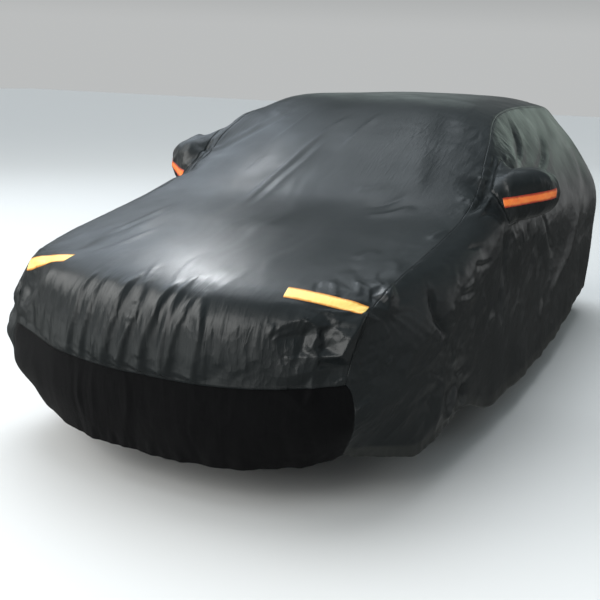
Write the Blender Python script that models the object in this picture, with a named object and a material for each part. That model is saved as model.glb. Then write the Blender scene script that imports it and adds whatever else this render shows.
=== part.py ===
"""A fitted cover for a compact hatchback, hanging as it does over the car.

The cover is sewn from a centre panel that runs from the bumper over the bonnet,
windscreen and roof to the tail, two side panels, and a lower panel at each end.
A pouch on each side takes the door mirror, and reflective strips mark the front
corners and the pouches. Metres, +Z up, nose towards -Y, the car's left at +X.
The tables below are in car coordinates, with the ground at z = 0 and the nose at
y = 0; everything hangs from an empty that puts the origin under the roof cloth.
"""

import math
from collections import namedtuple

import bmesh
import bpy
from mathutils import Vector

CLOTH = 0.002  # thickness of the coated cloth with its lining
SEAM_GAP = 0.0003  # each panel stops this far from the seam line
STRIP = 0.001  # thickness of a reflective strip
STRIP_LIFT = 0.0008  # from the cloth to the strip sewn on it
ROOF_POINT = Vector((0.0, 2.85, 1.438))  # underside of the cloth at the roof's crown

HALF_WIDTH = 0.898  # of the cover at its widest level
FRONT_CORNER_Y = 0.80  # where the plan outline starts to round towards the nose
NOSE_Y = -0.030
REAR_CORNER_Y = 3.65
TAIL_Y = 4.30
CORNER_POWER = 2.7  # 2 is an ellipse, more is squarer
INNER = 0.85  # the share of a section's width that sets the slope at its edge
SHOULDER_OUT = 0.90  # how far out the shoulder lies, from the seam to the widest level

# One row for each cross-section of the car, front to rear. The centre panel runs from
# its crown (x = 0) to its edge, and the side panel from that edge over the shoulder and
# the widest level to the hem. steps is the number of mesh rows up to the next section.
Section = namedtuple(
    "Section",
    "name crownY crownZ edgeX edgeY edgeZ square lowerY shoulderZ widestZ hemZ hemOut steps",
)
SECTIONS = [
    Section("nose seam", -0.030, 0.475, 0.700, 0.160, 0.510, 2.6, 0.190, 0.440, 0.340, 0.210, -0.085, 3),
    Section("bumper", -0.032, 0.610, 0.720, 0.180, 0.620, 2.6, 0.270, 0.530, 0.400, 0.205, -0.070, 2),
    Section("bonnet lip", 0.008, 0.735, 0.735, 0.225, 0.725, 2.6, 0.360, 0.610, 0.440, 0.190, -0.040, 2),
    Section("bonnet front", 0.105, 0.797, 0.750, 0.310, 0.785, 2.6, 0.470, 0.670, 0.470, 0.175, -0.010, 2),
    Section("bonnet", 0.340, 0.850, 0.760, 0.480, 0.832, 2.8, 0.640, 0.730, 0.490, 0.210, 0.005, 3),
    Section("bonnet rear", 0.700, 0.912, 0.770, 0.800, 0.890, 2.8, 0.900, 0.800, 0.520, 0.240, 0.012, 3),
    Section("cowl", 1.050, 0.975, 0.770, 1.140, 0.955, 2.8, 1.180, 0.860, 0.540, 0.150, 0.035, 2),
    Section("screen foot", 1.290, 1.070, 0.755, 1.420, 1.050, 2.8, 1.440, 0.900, 0.560, 0.140, 0.045, 5),
    Section("screen", 1.660, 1.255, 0.685, 1.760, 1.215, 2.8, 1.770, 0.920, 0.580, 0.132, 0.055, 3),
    Section("header", 2.030, 1.385, 0.618, 2.090, 1.335, 2.8, 2.100, 0.940, 0.590, 0.130, 0.050, 2),
    Section("roof front", 2.400, 1.428, 0.588, 2.420, 1.374, 2.8, 2.420, 0.945, 0.590, 0.130, 0.045, 3),
    Section("roof crown", 2.850, 1.440, 0.575, 2.850, 1.385, 2.8, 2.850, 0.945, 0.590, 0.145, 0.030, 3),
    Section("roof rear", 3.420, 1.430, 0.560, 3.400, 1.372, 2.8, 3.400, 0.935, 0.580, 0.190, 0.005, 3),
    Section("tail roof", 3.800, 1.398, 0.548, 3.730, 1.335, 2.8, 3.760, 0.920, 0.560, 0.200, -0.010, 3),
    Section("tailgate", 4.060, 1.195, 0.615, 3.960, 1.135, 2.6, 3.950, 0.880, 0.540, 0.185, -0.030, 2),
    Section("tail shoulder", 4.190, 0.945, 0.690, 4.050, 0.915, 2.4, 4.040, 0.780, 0.500, 0.180, -0.045, 2),
    Section("rear bumper", 4.280, 0.720, 0.715, 4.110, 0.715, 2.4, 4.100, 0.620, 0.450, 0.170, -0.055, 2),
    Section("tail seam", 4.298, 0.500, 0.725, 4.150, 0.530, 2.4, 4.140, 0.470, 0.380, 0.165, -0.060, 0),
]
LAST = len(SECTIONS) - 1

# Columns of the centre panel and the end panels, from the car's right edge (-1) to its
# left (+1): closer together where the nose is pleated.
Band = namedtuple("Band", "start end steps")
COLUMN_BANDS = [Band(-1.0, -0.80, 2), Band(-0.80, 0.16, 24), Band(0.16, 1.0, 8)]

# Levels of the panels that hang, from the seam (0) to the hem (3).
LEVEL_BANDS = [Band(0.0, 1.0, 4), Band(1.0, 2.0, 3), Band(2.0, 3.0, 4)]

# Heights of the end panels in the middle of the car, in the order of LOWER; at the
# corners they meet the side panels' own heights.
LOWER = ("shoulderZ", "widestZ", "hemZ", "hemOut")
NOSE_LOWER = (0.400, 0.300, 0.162, -0.030)
TAIL_LOWER = (0.430, 0.340, 0.165, -0.060)

# Where the cloth stands off the car or is drawn in: the middle of the place, its reach
# and the way it moves.
Pull = namedtuple("Pull", "name x y z reach dx dy dz")
PULLS = [
    Pull("right corner stands off", -0.86, 0.28, 0.50, 0.20, -0.115, -0.020, 0.000),
    Pull("right corner, low", -0.78, 0.22, 0.24, 0.17, -0.115, 0.000, 0.000),
    Pull("right cabin side", -0.76, 1.98, 1.17, 0.20, -0.070, 0.000, 0.060),
    Pull("over the right pouch", -0.86, 1.78, 1.15, 0.12, -0.010, 0.000, 0.045),
    Pull("left cabin side", 0.76, 1.95, 1.15, 0.16, 0.030, 0.000, 0.025),
]

# The mirror pouch starts at an opening in the side panel's mesh and runs outwards in
# rings, front edge swept back: middle of each ring, its half depth and half height, and
# how much farther out its foot is than its middle, as a share of the height between.
POUCH_REACH = 0.32  # from the opening's middle to beyond its edges
POUCH_ROWS = (7.2, 8.0)
POUCH_LEVELS = (0.25, 1.0)
Ring = namedtuple("Ring", "x y z halfY halfZ square lean")
POUCH_RINGS = [
    Ring(0.872, 1.638, 1.022, 0.126, 0.112, 2.6, 0.38),
    Ring(0.918, 1.668, 1.030, 0.118, 0.114, 2.8, 0.15),
    Ring(0.970, 1.697, 1.036, 0.104, 0.108, 2.8, 0.00),
    Ring(1.018, 1.722, 1.045, 0.080, 0.085, 2.6, 0.00),
    Ring(1.040, 1.733, 1.048, 0.043, 0.046, 2.2, 0.00),
]

# Creases of the cloth, each along a line of three places: reach is the half width of the
# trough or ridge, and height is how far it stands out, or in where it is negative.
Fold = namedtuple("Fold", "name start middle end reach height")
FOLDS = [
    Fold("pleat 1", (-0.26, 0.09, 0.785), (-0.28, 0.00, 0.67), (-0.345, 0.00, 0.48), 0.022, -0.016),
    Fold("pleat 1 ridge", (-0.23, 0.06, 0.77), (-0.255, -0.01, 0.65), (-0.31, -0.01, 0.48), 0.020, 0.010),
    Fold("pleat 2", (-0.20, 0.06, 0.775), (-0.215, -0.01, 0.65), (-0.24, -0.02, 0.50), 0.020, -0.012),
    Fold("pleat 3", (-0.105, 0.06, 0.777), (-0.11, -0.01, 0.66), (-0.145, -0.03, 0.47), 0.022, -0.018),
    Fold("pleat 3 ridge", (-0.15, 0.05, 0.77), (-0.165, -0.01, 0.64), (-0.19, -0.02, 0.50), 0.022, 0.008),
    Fold("pleat 4", (-0.05, 0.15, 0.81), (-0.02, -0.01, 0.69), (-0.078, -0.03, 0.47), 0.022, -0.020),
    Fold("pleat 4 ridge", (0.01, 0.10, 0.80), (0.02, -0.01, 0.69), (-0.03, -0.03, 0.48), 0.022, 0.010),
    Fold("pleat 5", (0.075, 0.00, 0.74), (0.05, -0.03, 0.62), (0.022, -0.03, 0.46), 0.026, -0.020),
    Fold("pleat 6", (0.107, 0.12, 0.80), (0.115, 0.00, 0.71), (0.11, -0.03, 0.50), 0.020, -0.012),
    Fold("pleat 7", (0.177, 0.01, 0.74), (0.16, -0.03, 0.63), (0.135, -0.03, 0.50), 0.024, -0.010),
    Fold("pleat 8", (0.21, 0.03, 0.75), (0.225, -0.02, 0.64), (0.235, -0.02, 0.47), 0.026, -0.016),
    Fold("bonnet, right", (-0.504, 0.96, 0.944), (-0.45, 0.65, 0.905), (-0.397, 0.33, 0.84), 0.050, 0.007),
    Fold("bonnet, outer", (-0.595, 0.54, 0.864), (-0.56, 0.39, 0.84), (-0.53, 0.24, 0.81), 0.045, -0.008),
    Fold("screen, right", (-0.23, 0.74, 0.916), (-0.18, 1.10, 0.99), (-0.10, 1.48, 1.17), 0.060, 0.009),
    Fold("screen, left", (0.52, 1.17, 1.00), (0.46, 1.45, 1.13), (0.40, 1.72, 1.26), 0.060, 0.010),
    Fold("header, left", (0.50, 1.62, 1.21), (0.45, 1.85, 1.31), (0.40, 2.06, 1.37), 0.060, -0.007),
    Fold("left corner hollow", (0.50, 0.08, 0.72), (0.57, 0.09, 0.67), (0.62, 0.11, 0.62), 0.045, -0.034),
    Fold("left corner lobe", (0.62, 0.13, 0.71), (0.65, 0.13, 0.66), (0.66, 0.13, 0.59), 0.040, 0.020),
    Fold("left corner flap", (0.72, 0.23, 0.75), (0.71, 0.19, 0.67), (0.68, 0.15, 0.58), 0.040, 0.016),
    Fold("left corner ear", (0.68, 0.42, 0.83), (0.74, 0.36, 0.80), (0.78, 0.30, 0.74), 0.040, 0.014),
    Fold("below left corner", (0.63, 0.11, 0.56), (0.62, 0.10, 0.48), (0.61, 0.09, 0.38), 0.040, 0.018),
    Fold("left crescent", (0.46, 0.04, 0.50), (0.53, 0.06, 0.47), (0.59, 0.09, 0.43), 0.040, -0.014),
    Fold("right corner fold", (-0.56, 0.15, 0.77), (-0.66, 0.16, 0.70), (-0.76, 0.17, 0.60), 0.045, -0.026),
    Fold("right corner, mid", (-0.74, 0.15, 0.53), (-0.86, 0.24, 0.52), (-0.96, 0.36, 0.54), 0.045, -0.030),
    Fold("right corner, low", (-0.70, 0.14, 0.40), (-0.84, 0.22, 0.37), (-0.93, 0.34, 0.38), 0.045, -0.022),
    Fold("left fender", (0.80, 0.56, 0.83), (0.87, 0.57, 0.72), (0.89, 0.64, 0.58), 0.050, -0.016),
    Fold("left wheel flap", (0.88, 0.66, 0.46), (0.89, 0.60, 0.34), (0.88, 0.56, 0.20), 0.050, 0.018),
    Fold("left wheel notch", (0.90, 0.84, 0.42), (0.90, 0.84, 0.33), (0.91, 0.90, 0.24), 0.050, -0.020),
    Fold("left rumple, high", (0.66, 1.52, 1.12), (0.76, 1.44, 1.04), (0.86, 1.40, 0.95), 0.045, -0.018),
    Fold("left rumple, low", (0.74, 1.18, 0.97), (0.81, 1.28, 0.94), (0.86, 1.42, 0.90), 0.045, 0.016),
    Fold("left pouch, above", (0.66, 2.20, 1.28), (0.78, 1.98, 1.18), (0.90, 1.78, 1.12), 0.060, 0.022),
    Fold("left pouch, second", (0.68, 2.52, 1.24), (0.78, 2.22, 1.12), (0.87, 1.90, 1.04), 0.055, -0.016),
    Fold("left pouch, below", (0.87, 1.50, 0.92), (0.89, 1.48, 0.78), (0.90, 1.47, 0.60), 0.050, -0.024),
    Fold("left door", (0.88, 2.10, 0.90), (0.89, 2.24, 0.74), (0.91, 2.40, 0.52), 0.070, 0.012),
    Fold("left rear door", (0.87, 3.18, 0.84), (0.90, 2.98, 0.62), (0.92, 2.76, 0.38), 0.090, 0.014),
    Fold("left quarter", (0.70, 3.60, 1.12), (0.84, 3.44, 0.90), (0.90, 3.24, 0.66), 0.080, -0.014),
    Fold("right pouch, above", (-0.66, 2.26, 1.26), (-0.80, 2.02, 1.18), (-0.92, 1.80, 1.12), 0.060, 0.020),
    Fold("right pouch, fore", (-0.68, 1.44, 1.08), (-0.77, 1.38, 1.00), (-0.86, 1.36, 0.91), 0.050, -0.018),
    Fold("right pouch, below", (-0.87, 1.62, 0.90), (-0.89, 1.66, 0.74), (-0.91, 1.74, 0.54), 0.055, -0.022),
    Fold("right fender", (-0.79, 0.70, 0.86), (-0.87, 0.78, 0.72), (-0.90, 0.92, 0.54), 0.060, 0.014),
    Fold("right wheel", (-0.89, 1.08, 0.52), (-0.91, 1.02, 0.38), (-0.91, 0.90, 0.26), 0.060, -0.018),
    Fold("right door", (-0.87, 2.30, 0.88), (-0.90, 2.52, 0.68), (-0.92, 2.72, 0.44), 0.080, 0.014),
    Fold("right rear door", (-0.88, 2.96, 0.80), (-0.90, 3.16, 0.62), (-0.91, 3.40, 0.42), 0.080, -0.014),
    Fold("right quarter", (-0.66, 3.44, 1.18), (-0.82, 3.56, 0.96), (-0.89, 3.74, 0.70), 0.080, 0.013),
    Fold("tail, right", (-0.50, 4.08, 1.16), (-0.55, 4.17, 0.98), (-0.66, 4.20, 0.74), 0.060, -0.018),
    Fold("tail, right middle", (-0.20, 4.14, 1.08), (-0.24, 4.23, 0.86), (-0.33, 4.27, 0.58), 0.045, 0.012),
    Fold("tail, middle", (0.06, 4.12, 1.10), (0.04, 4.24, 0.84), (0.08, 4.29, 0.56), 0.040, -0.014),
    Fold("tail, left middle", (0.30, 4.10, 1.12), (0.34, 4.21, 0.88), (0.30, 4.26, 0.60), 0.070, 0.012),
    Fold("tail, left", (0.52, 4.04, 1.16), (0.60, 4.13, 0.94), (0.68, 4.14, 0.70), 0.070, -0.018),
    Fold("tail corner, left", (0.70, 4.16, 0.60), (0.80, 4.06, 0.54), (0.87, 3.90, 0.56), 0.060, -0.018),
    Fold("tail corner, right", (-0.72, 4.14, 0.66), (-0.81, 4.05, 0.58), (-0.88, 3.88, 0.54), 0.060, -0.020),
]

HEM_WAVE = 0.007  # the elastic in the hem gathers it in waves
HEM_WAVE_LENGTH = 0.42
HEM_WAVE_TOP = 0.34  # the waves die out at this height

PANELS = (
    "centre_panel",
    "side_panel_left",
    "side_panel_right",
    "nose_panel",
    "tail_panel",
    "mirror_pouch_left",
    "mirror_pouch_right",
)

# Reflective strips: which panel each is sewn on, the middle line from its inner to its
# outer end, the way it faces, and its width.
Strip = namedtuple("Strip", "name panel inner middle outer facing width")
STRIPS = [
    Strip(
        "front_strip_left",
        0,
        (0.452, 0.170, 0.795),
        (0.590, 0.196, 0.774),
        (0.728, 0.242, 0.748),
        (0.25, -0.55, 0.80),
        0.045,
    ),
    Strip(
        "front_strip_right",
        0,
        (-0.500, 0.192, 0.797),
        (-0.628, 0.206, 0.768),
        (-0.738, 0.226, 0.732),
        (-0.30, -0.55, 0.78),
        0.045,
    ),
    Strip(
        "mirror_strip_left",
        5,
        (0.846, 1.500, 0.996),
        (0.940, 1.580, 1.014),
        (1.020, 1.660, 1.034),
        (0.62, -0.78, 0.00),
        0.040,
    ),
    Strip(
        "mirror_strip_right",
        6,
        (-0.846, 1.500, 0.990),
        (-0.940, 1.580, 1.010),
        (-1.020, 1.660, 1.030),
        (-0.62, -0.78, 0.00),
        0.040,
    ),
]
STRIP_REACH = 0.30  # of the cloth copied for a strip, round its middle
CUTTER_DEPTH = 0.08


def spread(bands):
    """The positions along a row of bands, both ends included."""
    found = [bands[0].start]
    for band in bands:
        for step in range(1, band.steps + 1):
            found.append(band.start + (band.end - band.start) * step / band.steps)
    return found


COLUMN_AT = spread(COLUMN_BANDS)
LEVEL_AT = spread(LEVEL_BANDS)
ROW_AT = spread([Band(i, i + 1, s.steps) for i, s in enumerate(SECTIONS[:-1])])


def curve(before, start, end, after, t):
    """Catmull-Rom from start to end, for numbers or vectors."""
    return 0.5 * (
        2 * start
        + (end - before) * t
        + (2 * before - 5 * start + 4 * end - after) * t * t
        + (3 * start - before - 3 * end + after) * t * t * t
    )


def section_value(column, at):
    """A column of SECTIONS at a place between two of its rows."""
    first = min(int(at), LAST - 1)
    rows = [min(max(first + k, 0), LAST) for k in (-1, 0, 1, 2)]
    values = [getattr(SECTIONS[row], column) for row in rows]
    if rows[0] == rows[1]:
        values[0] = 2 * values[1] - values[2]
    if rows[3] == rows[2]:
        values[3] = 2 * values[2] - values[1]
    return curve(*values, at - first)


def outline_x(y):
    """Half width in plan, at the widest level."""
    if y < FRONT_CORNER_Y:
        share = (FRONT_CORNER_Y - y) / (FRONT_CORNER_Y - NOSE_Y)
    elif y > REAR_CORNER_Y:
        share = (y - REAR_CORNER_Y) / (TAIL_Y - REAR_CORNER_Y)
    else:
        share = 0.0
    return HALF_WIDTH * max(1 - share**CORNER_POWER, 0.0) ** (1 / CORNER_POWER)


def end_outline_y(x, rear):
    """The nose's or the tail's y in plan, at the widest level."""
    share = max(1 - (abs(x) / HALF_WIDTH) ** CORNER_POWER, 0.0) ** (1 / CORNER_POWER)
    if rear:
        return REAR_CORNER_Y + (TAIL_Y - REAR_CORNER_Y) * share
    return FRONT_CORNER_Y - (FRONT_CORNER_Y - NOSE_Y) * share


def outline_normal(x, y):
    """Outward direction of the plan outline."""
    share_x = (abs(x) / HALF_WIDTH) ** (CORNER_POWER - 1) / HALF_WIDTH
    if y < FRONT_CORNER_Y:
        depth = FRONT_CORNER_Y - NOSE_Y
        share_y = -(((FRONT_CORNER_Y - y) / depth) ** (CORNER_POWER - 1)) / depth
    elif y > REAR_CORNER_Y:
        depth = TAIL_Y - REAR_CORNER_Y
        share_y = ((y - REAR_CORNER_Y) / depth) ** (CORNER_POWER - 1) / depth
    else:
        share_y = 0.0
    return Vector((math.copysign(share_x, x), share_y, 0)).normalized()


def centre_point(across, at):
    """On the centre panel: across runs from -1 to 1, at along SECTIONS."""
    crown_y, crown_z, edge_x, edge_y, edge_z, square = (
        section_value(column, at)
        for column in ("crownY", "crownZ", "edgeX", "edgeY", "edgeZ", "square")
    )
    share = abs(across) ** square
    return Vector(
        (
            edge_x * across,
            crown_y + (edge_y - crown_y) * share,
            crown_z + (edge_z - crown_z) * share,
        )
    )


def hanging_point(seam, inner, widest, lower, level):
    """On a panel that hangs: from the seam (level 0) over shoulder and widest to the hem (3).

    inner is a point above the seam that sets the slope there, widest the plan position of
    the widest level, and lower holds shoulderZ, widestZ, hemZ and hemOut.
    """
    shoulder_z, widest_z, hem_z, hem_out = lower
    shoulder = seam.lerp(Vector((widest.x, widest.y, seam.z)), SHOULDER_OUT)
    shoulder.z = shoulder_z
    wide = Vector((widest.x, widest.y, widest_z))
    outward = outline_normal(widest.x, widest.y)
    hem = wide + outward * hem_out
    hem.z = hem_z
    below = hem + (hem - wide) * 0.5
    points = [inner, seam, shoulder, wide, hem, below]
    first = min(int(level), 2)
    return curve(*points[first : first + 4], level - first)


def side_point(side, at, level):
    """On a side panel: side is 1 for the car's left and -1 for its right."""
    seam = centre_point(side, at)
    inner = centre_point(side * INNER, min(max(at, 0.5), LAST - 0.5))
    lower_y = section_value("lowerY", at)
    widest = Vector((side * outline_x(lower_y), lower_y, 0))
    lower = [section_value(column, at) for column in LOWER]
    return hanging_point(seam, inner, widest, lower, level)


def end_point(rear, across, level):
    """On the lower panel of the nose or the tail."""
    at = float(LAST) if rear else 0.0
    seam = centre_point(across, at)
    inner = centre_point(
        across * (1 - (1 - INNER) * abs(across) ** 6), at - 0.5 if rear else at + 0.5
    )
    row = SECTIONS[-1 if rear else 0]
    widest_y = end_outline_y(seam.x / row.edgeX * outline_x(row.lowerY), rear)
    widest = Vector((seam.x / row.edgeX * outline_x(row.lowerY), widest_y, 0))
    share = abs(across) ** 3
    middle = TAIL_LOWER if rear else NOSE_LOWER
    corner = [getattr(row, column) for column in LOWER]
    lower = [m + (c - m) * share for m, c in zip(middle, corner)]
    return hanging_point(seam, inner, widest, lower, level)


def ring_point(side, ring, angle):
    """A point of a pouch ring, at an angle seen from outside the car."""
    flat_y, flat_z = math.cos(angle), math.sin(angle)
    size = (abs(flat_y) ** ring.square + abs(flat_z) ** ring.square) ** (1 / ring.square)
    up = ring.halfZ * flat_z / size
    return Vector((side * (ring.x - ring.lean * up), ring.y + ring.halfY * flat_y / size, ring.z + up))


def add_pouch(cover, side, panel):
    """The pouch over a door mirror, joined to the side panel round its opening."""
    layer = cover.faces.layers.int["panel"]
    corners = [
        side_point(side, at, level) for at in POUCH_ROWS for level in POUCH_LEVELS
    ]
    middle = sum(corners, Vector()) / 4
    open_faces = [
        face
        for face in cover.faces
        if face[layer] == (1 if side > 0 else 2) and within_opening(face, side)
    ]
    bmesh.ops.delete(cover, geom=open_faces, context="FACES")
    before = [
        edge
        for edge in cover.edges
        if edge.is_boundary and (edge.verts[0].co - middle).length < POUCH_REACH
    ]
    for ring in POUCH_RINGS:
        made = bmesh.ops.extrude_edge_only(cover, edges=before)["geom"]
        for vert in (item for item in made if isinstance(item, bmesh.types.BMVert)):
            way = vert.co - middle
            angle = math.atan2(way.z, way.y)
            vert.co = ring_point(side, ring, angle)
        for face in (item for item in made if isinstance(item, bmesh.types.BMFace)):
            face[layer] = panel
        before = [item for item in made if isinstance(item, bmesh.types.BMEdge)]
        middle = Vector((side * ring.x, ring.y, ring.z))
    end = bmesh.ops.contextual_create(cover, geom=before)["faces"][0]
    end[layer] = panel
    poke = bmesh.ops.poke(cover, faces=[end])
    for face in poke["faces"]:
        face[layer] = panel


def within_opening(face, side):
    """Whether a face of a side panel lies where its pouch opens."""
    middle = face.calc_center_median()
    low = side_point(side, POUCH_ROWS[0], 0.6)
    high = side_point(side, POUCH_ROWS[1], 0.6)
    if not low.y < middle.y < high.y:
        return False
    at = POUCH_ROWS[0] + (middle.y - low.y) / (high.y - low.y)
    top = side_point(side, at, POUCH_LEVELS[0]).z
    bottom = side_point(side, at, POUCH_LEVELS[1]).z
    return bottom < middle.z < top


def pull_cloth(cover):
    """Moves the cloth by the rows of PULLS."""
    for vert in cover.verts:
        place = vert.co.copy()
        for pull in PULLS:
            far = (place - Vector((pull.x, pull.y, pull.z))).length / pull.reach
            vert.co += Vector((pull.dx, pull.dy, pull.dz)) * math.exp(-far * far)


def fold_share(place, fold):
    """How much of a fold's height a place takes: 1 on its line, 0 beyond its reach."""
    start, middle, end = Vector(fold.start), Vector(fold.middle), Vector(fold.end)
    nearest, along = None, 0.0
    for first, last, base in ((start, middle, 0.0), (middle, end, 0.5)):
        way = last - first
        share = min(max((place - first).dot(way) / way.length_squared, 0.0), 1.0)
        far = (place - first.lerp(last, share)).length
        if nearest is None or far < nearest:
            nearest, along = far, base + share / 2
    fade = math.sin(math.pi * (0.12 + 0.76 * along))
    return fade * math.exp(-((nearest / fold.reach) ** 2))


def fold_cloth(cover):
    """Moves the cloth out and in along its normals by FOLDS and the waves of the hem."""
    moves = []
    for vert in cover.verts:
        height = sum(fold.height * fold_share(vert.co, fold) for fold in FOLDS)
        low = max((HEM_WAVE_TOP - vert.co.z) / HEM_WAVE_TOP, 0.0)
        along = 2 * math.pi * (vert.co.y + 1.4 * vert.co.x) / HEM_WAVE_LENGTH
        height += HEM_WAVE * low * (math.sin(along) + 0.6 * math.sin(2.3 * along + 1.0))
        moves.append(vert.normal * height)
    for vert, move in zip(cover.verts, moves):
        vert.co += move


def grid_patch(cover, panel, points):
    """A grid of the cover's mesh, with its vertices at points[row][column]."""
    rows, columns = len(points) - 1, len(points[0]) - 1
    made = bmesh.ops.create_grid(cover, x_segments=columns, y_segments=rows, size=1.0)
    for vert in made["verts"]:
        column = round((vert.co.x + 1) / 2 * columns)
        row = round((vert.co.y + 1) / 2 * rows)
        vert.co = points[row][column]
    layer = cover.faces.layers.int["panel"]
    for face in {face for vert in made["verts"] for face in vert.link_faces}:
        face[layer] = panel


def cover_mesh():
    """The outer face of the whole cover, with each face marked with its panel."""
    cover = bmesh.new()
    cover.faces.layers.int.new("panel")
    grid_patch(cover, 0, [[centre_point(t, at) for t in COLUMN_AT] for at in ROW_AT])
    grid_patch(cover, 1, [[side_point(1, at, level) for at in ROW_AT] for level in LEVEL_AT])
    grid_patch(cover, 2, [[side_point(-1, at, level) for at in ROW_AT] for level in LEVEL_AT])
    grid_patch(cover, 3, [[end_point(False, t, level) for t in COLUMN_AT] for level in LEVEL_AT])
    grid_patch(cover, 4, [[end_point(True, t, level) for t in COLUMN_AT] for level in LEVEL_AT])
    bmesh.ops.remove_doubles(cover, verts=cover.verts, dist=0.0001)
    add_pouch(cover, 1, 5)
    add_pouch(cover, -1, 6)
    pull_cloth(cover)
    bmesh.ops.recalc_face_normals(cover, faces=cover.faces)
    cover.normal_update()
    fold_cloth(cover)
    bmesh.ops.triangulate(cover, faces=cover.faces)
    cover.normal_update()
    outward = cover.verts.layers.float_vector.new("outward")
    for vert in cover.verts:
        vert[outward] = vert.normal
    return cover


def keep_faces(mesh, keep):
    """Deletes every face of a mesh that keep turns down."""
    away = [face for face in mesh.faces if not keep(face)]
    bmesh.ops.delete(mesh, geom=away, context="FACES")


def draw_in_edges(mesh):
    """Moves the edges of a panel in from its seams."""
    moves = []
    for vert in mesh.verts:
        if not vert.is_boundary:
            continue
        inward = sum((face.calc_center_median() for face in vert.link_faces), Vector())
        inward = inward / len(vert.link_faces) - vert.co
        ends = [edge.other_vert(vert).co for edge in vert.link_edges if edge.is_boundary]
        tangent = (ends[1] - ends[0]).normalized()
        inward -= tangent * inward.dot(tangent)
        moves.append((vert, inward.normalized() * SEAM_GAP))
    for vert, move in moves:
        vert.co += move


def thicken(mesh, first, second):
    """Turns an open mesh into a sheet between two depths along its outward normals."""
    outward = mesh.verts.layers.float_vector["outward"]
    outer = list(mesh.verts)
    rim = [edge for edge in mesh.edges if edge.is_boundary]
    copied = bmesh.ops.duplicate(mesh, geom=mesh.verts[:] + mesh.edges[:] + mesh.faces[:])
    inner = [copied["vert_map"][vert] for vert in outer]
    for edge in rim:
        one, other = edge.verts
        mesh.faces.new((one, other, copied["vert_map"][other], copied["vert_map"][one]))
    for vert, twin in zip(outer, inner):
        way = Vector(vert[outward])
        twin.co = vert.co + way * second
        vert.co += way * first
    bmesh.ops.recalc_face_normals(mesh, faces=mesh.faces)


def cloth_material(name, colour, roughness):
    """A plain Principled material."""
    material = bpy.data.materials.new(name)
    material.use_nodes = True
    shader = material.node_tree.nodes["Principled BSDF"]
    shader.inputs["Base Color"].default_value = (*colour, 1.0)
    shader.inputs["Roughness"].default_value = roughness
    return material


def add_object(name, mesh, collection, material=None):
    """An object from a mesh, hung from the point under the roof."""
    data = bpy.data.meshes.new(name)
    mesh.to_mesh(data)
    mesh.free()
    item = bpy.data.objects.new(name, data)
    collection.objects.link(item)
    item.parent = bpy.data.objects["hung_from"]
    if material:
        data.materials.append(material)
    return item


def strip_cutter(strip):
    """A bent bar with the strip's outline, to cut it from a sheet of cloth."""
    facing = Vector(strip.facing).normalized()
    line = [Vector(place) for place in (strip.inner, strip.middle, strip.outer)]
    bar = bmesh.new()
    sections = []
    for number, place in enumerate(line):
        way = line[min(number + 1, 2)] - line[max(number - 1, 0)]
        across = facing.cross(way).normalized() * strip.width / 2
        depth = facing * CUTTER_DEPTH
        corners = (across - depth, across + depth, -across + depth, -across - depth)
        sections.append([bar.verts.new(place + corner) for corner in corners])
    for near, far in zip(sections, sections[1:]):
        for corner in range(4):
            after = (corner + 1) % 4
            bar.faces.new((near[corner], near[after], far[after], far[corner]))
    bar.faces.new(sections[0])
    bar.faces.new(sections[-1])
    bmesh.ops.recalc_face_normals(bar, faces=bar.faces)
    return bar


def add_strip(cover, strip, parts, cutters, material):
    """A reflective strip, cut from a sheet that follows the cloth below it."""
    sheet = cover.copy()
    layer = sheet.faces.layers.int["panel"]
    middle = Vector(strip.middle)
    facing = Vector(strip.facing)
    keep_faces(
        sheet,
        lambda face: face[layer] == strip.panel
        and (face.calc_center_median() - middle).length < STRIP_REACH
        and face.normal.dot(facing) > 0,
    )
    thicken(sheet, STRIP_LIFT + STRIP, STRIP_LIFT)
    item = add_object(strip.name, sheet, parts, material)
    bar = add_object(strip.name + "_outline", strip_cutter(strip), cutters)
    bar.hide_render = True
    bar.display_type = "WIRE"
    cut = item.modifiers.new("outline", "BOOLEAN")
    cut.operation = "INTERSECT"
    cut.solver = "EXACT"
    cut.object = bar


def main():
    for item in list(bpy.data.objects):
        bpy.data.objects.remove(item)
    scene = bpy.context.scene.collection
    parts = bpy.data.collections.new("Parts")
    cutters = bpy.data.collections.new("Cutters")
    scene.children.link(parts)
    scene.children.link(cutters)
    hung_from = bpy.data.objects.new("hung_from", None)
    hung_from.location = -ROOF_POINT
    parts.objects.link(hung_from)

    glossy = cloth_material("coated_cloth", (0.035, 0.042, 0.047), 0.35)
    matte = cloth_material("plain_cloth", (0.022, 0.023, 0.026), 0.75)
    yellow = cloth_material("yellow_reflective", (0.85, 0.72, 0.25), 0.40)
    orange = cloth_material("orange_reflective", (0.80, 0.24, 0.06), 0.40)

    cover = cover_mesh()
    for panel, name in enumerate(PANELS):
        sheet = cover.copy()
        layer = sheet.faces.layers.int["panel"]
        keep_faces(sheet, lambda face: face[layer] == panel)
        draw_in_edges(sheet)
        thicken(sheet, 0.0, -CLOTH)
        add_object(name, sheet, parts, matte if name in ("nose_panel", "tail_panel") else glossy)
    for strip in STRIPS:
        add_strip(cover, strip, parts, cutters, yellow if strip.panel == 0 else orange)
    cover.free()


main()
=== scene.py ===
import itertools
import math

import bmesh
import bpy
import numpy as np
from mathutils import Matrix, Vector, geometry
from mathutils.bvhtree import BVHTree


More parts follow.
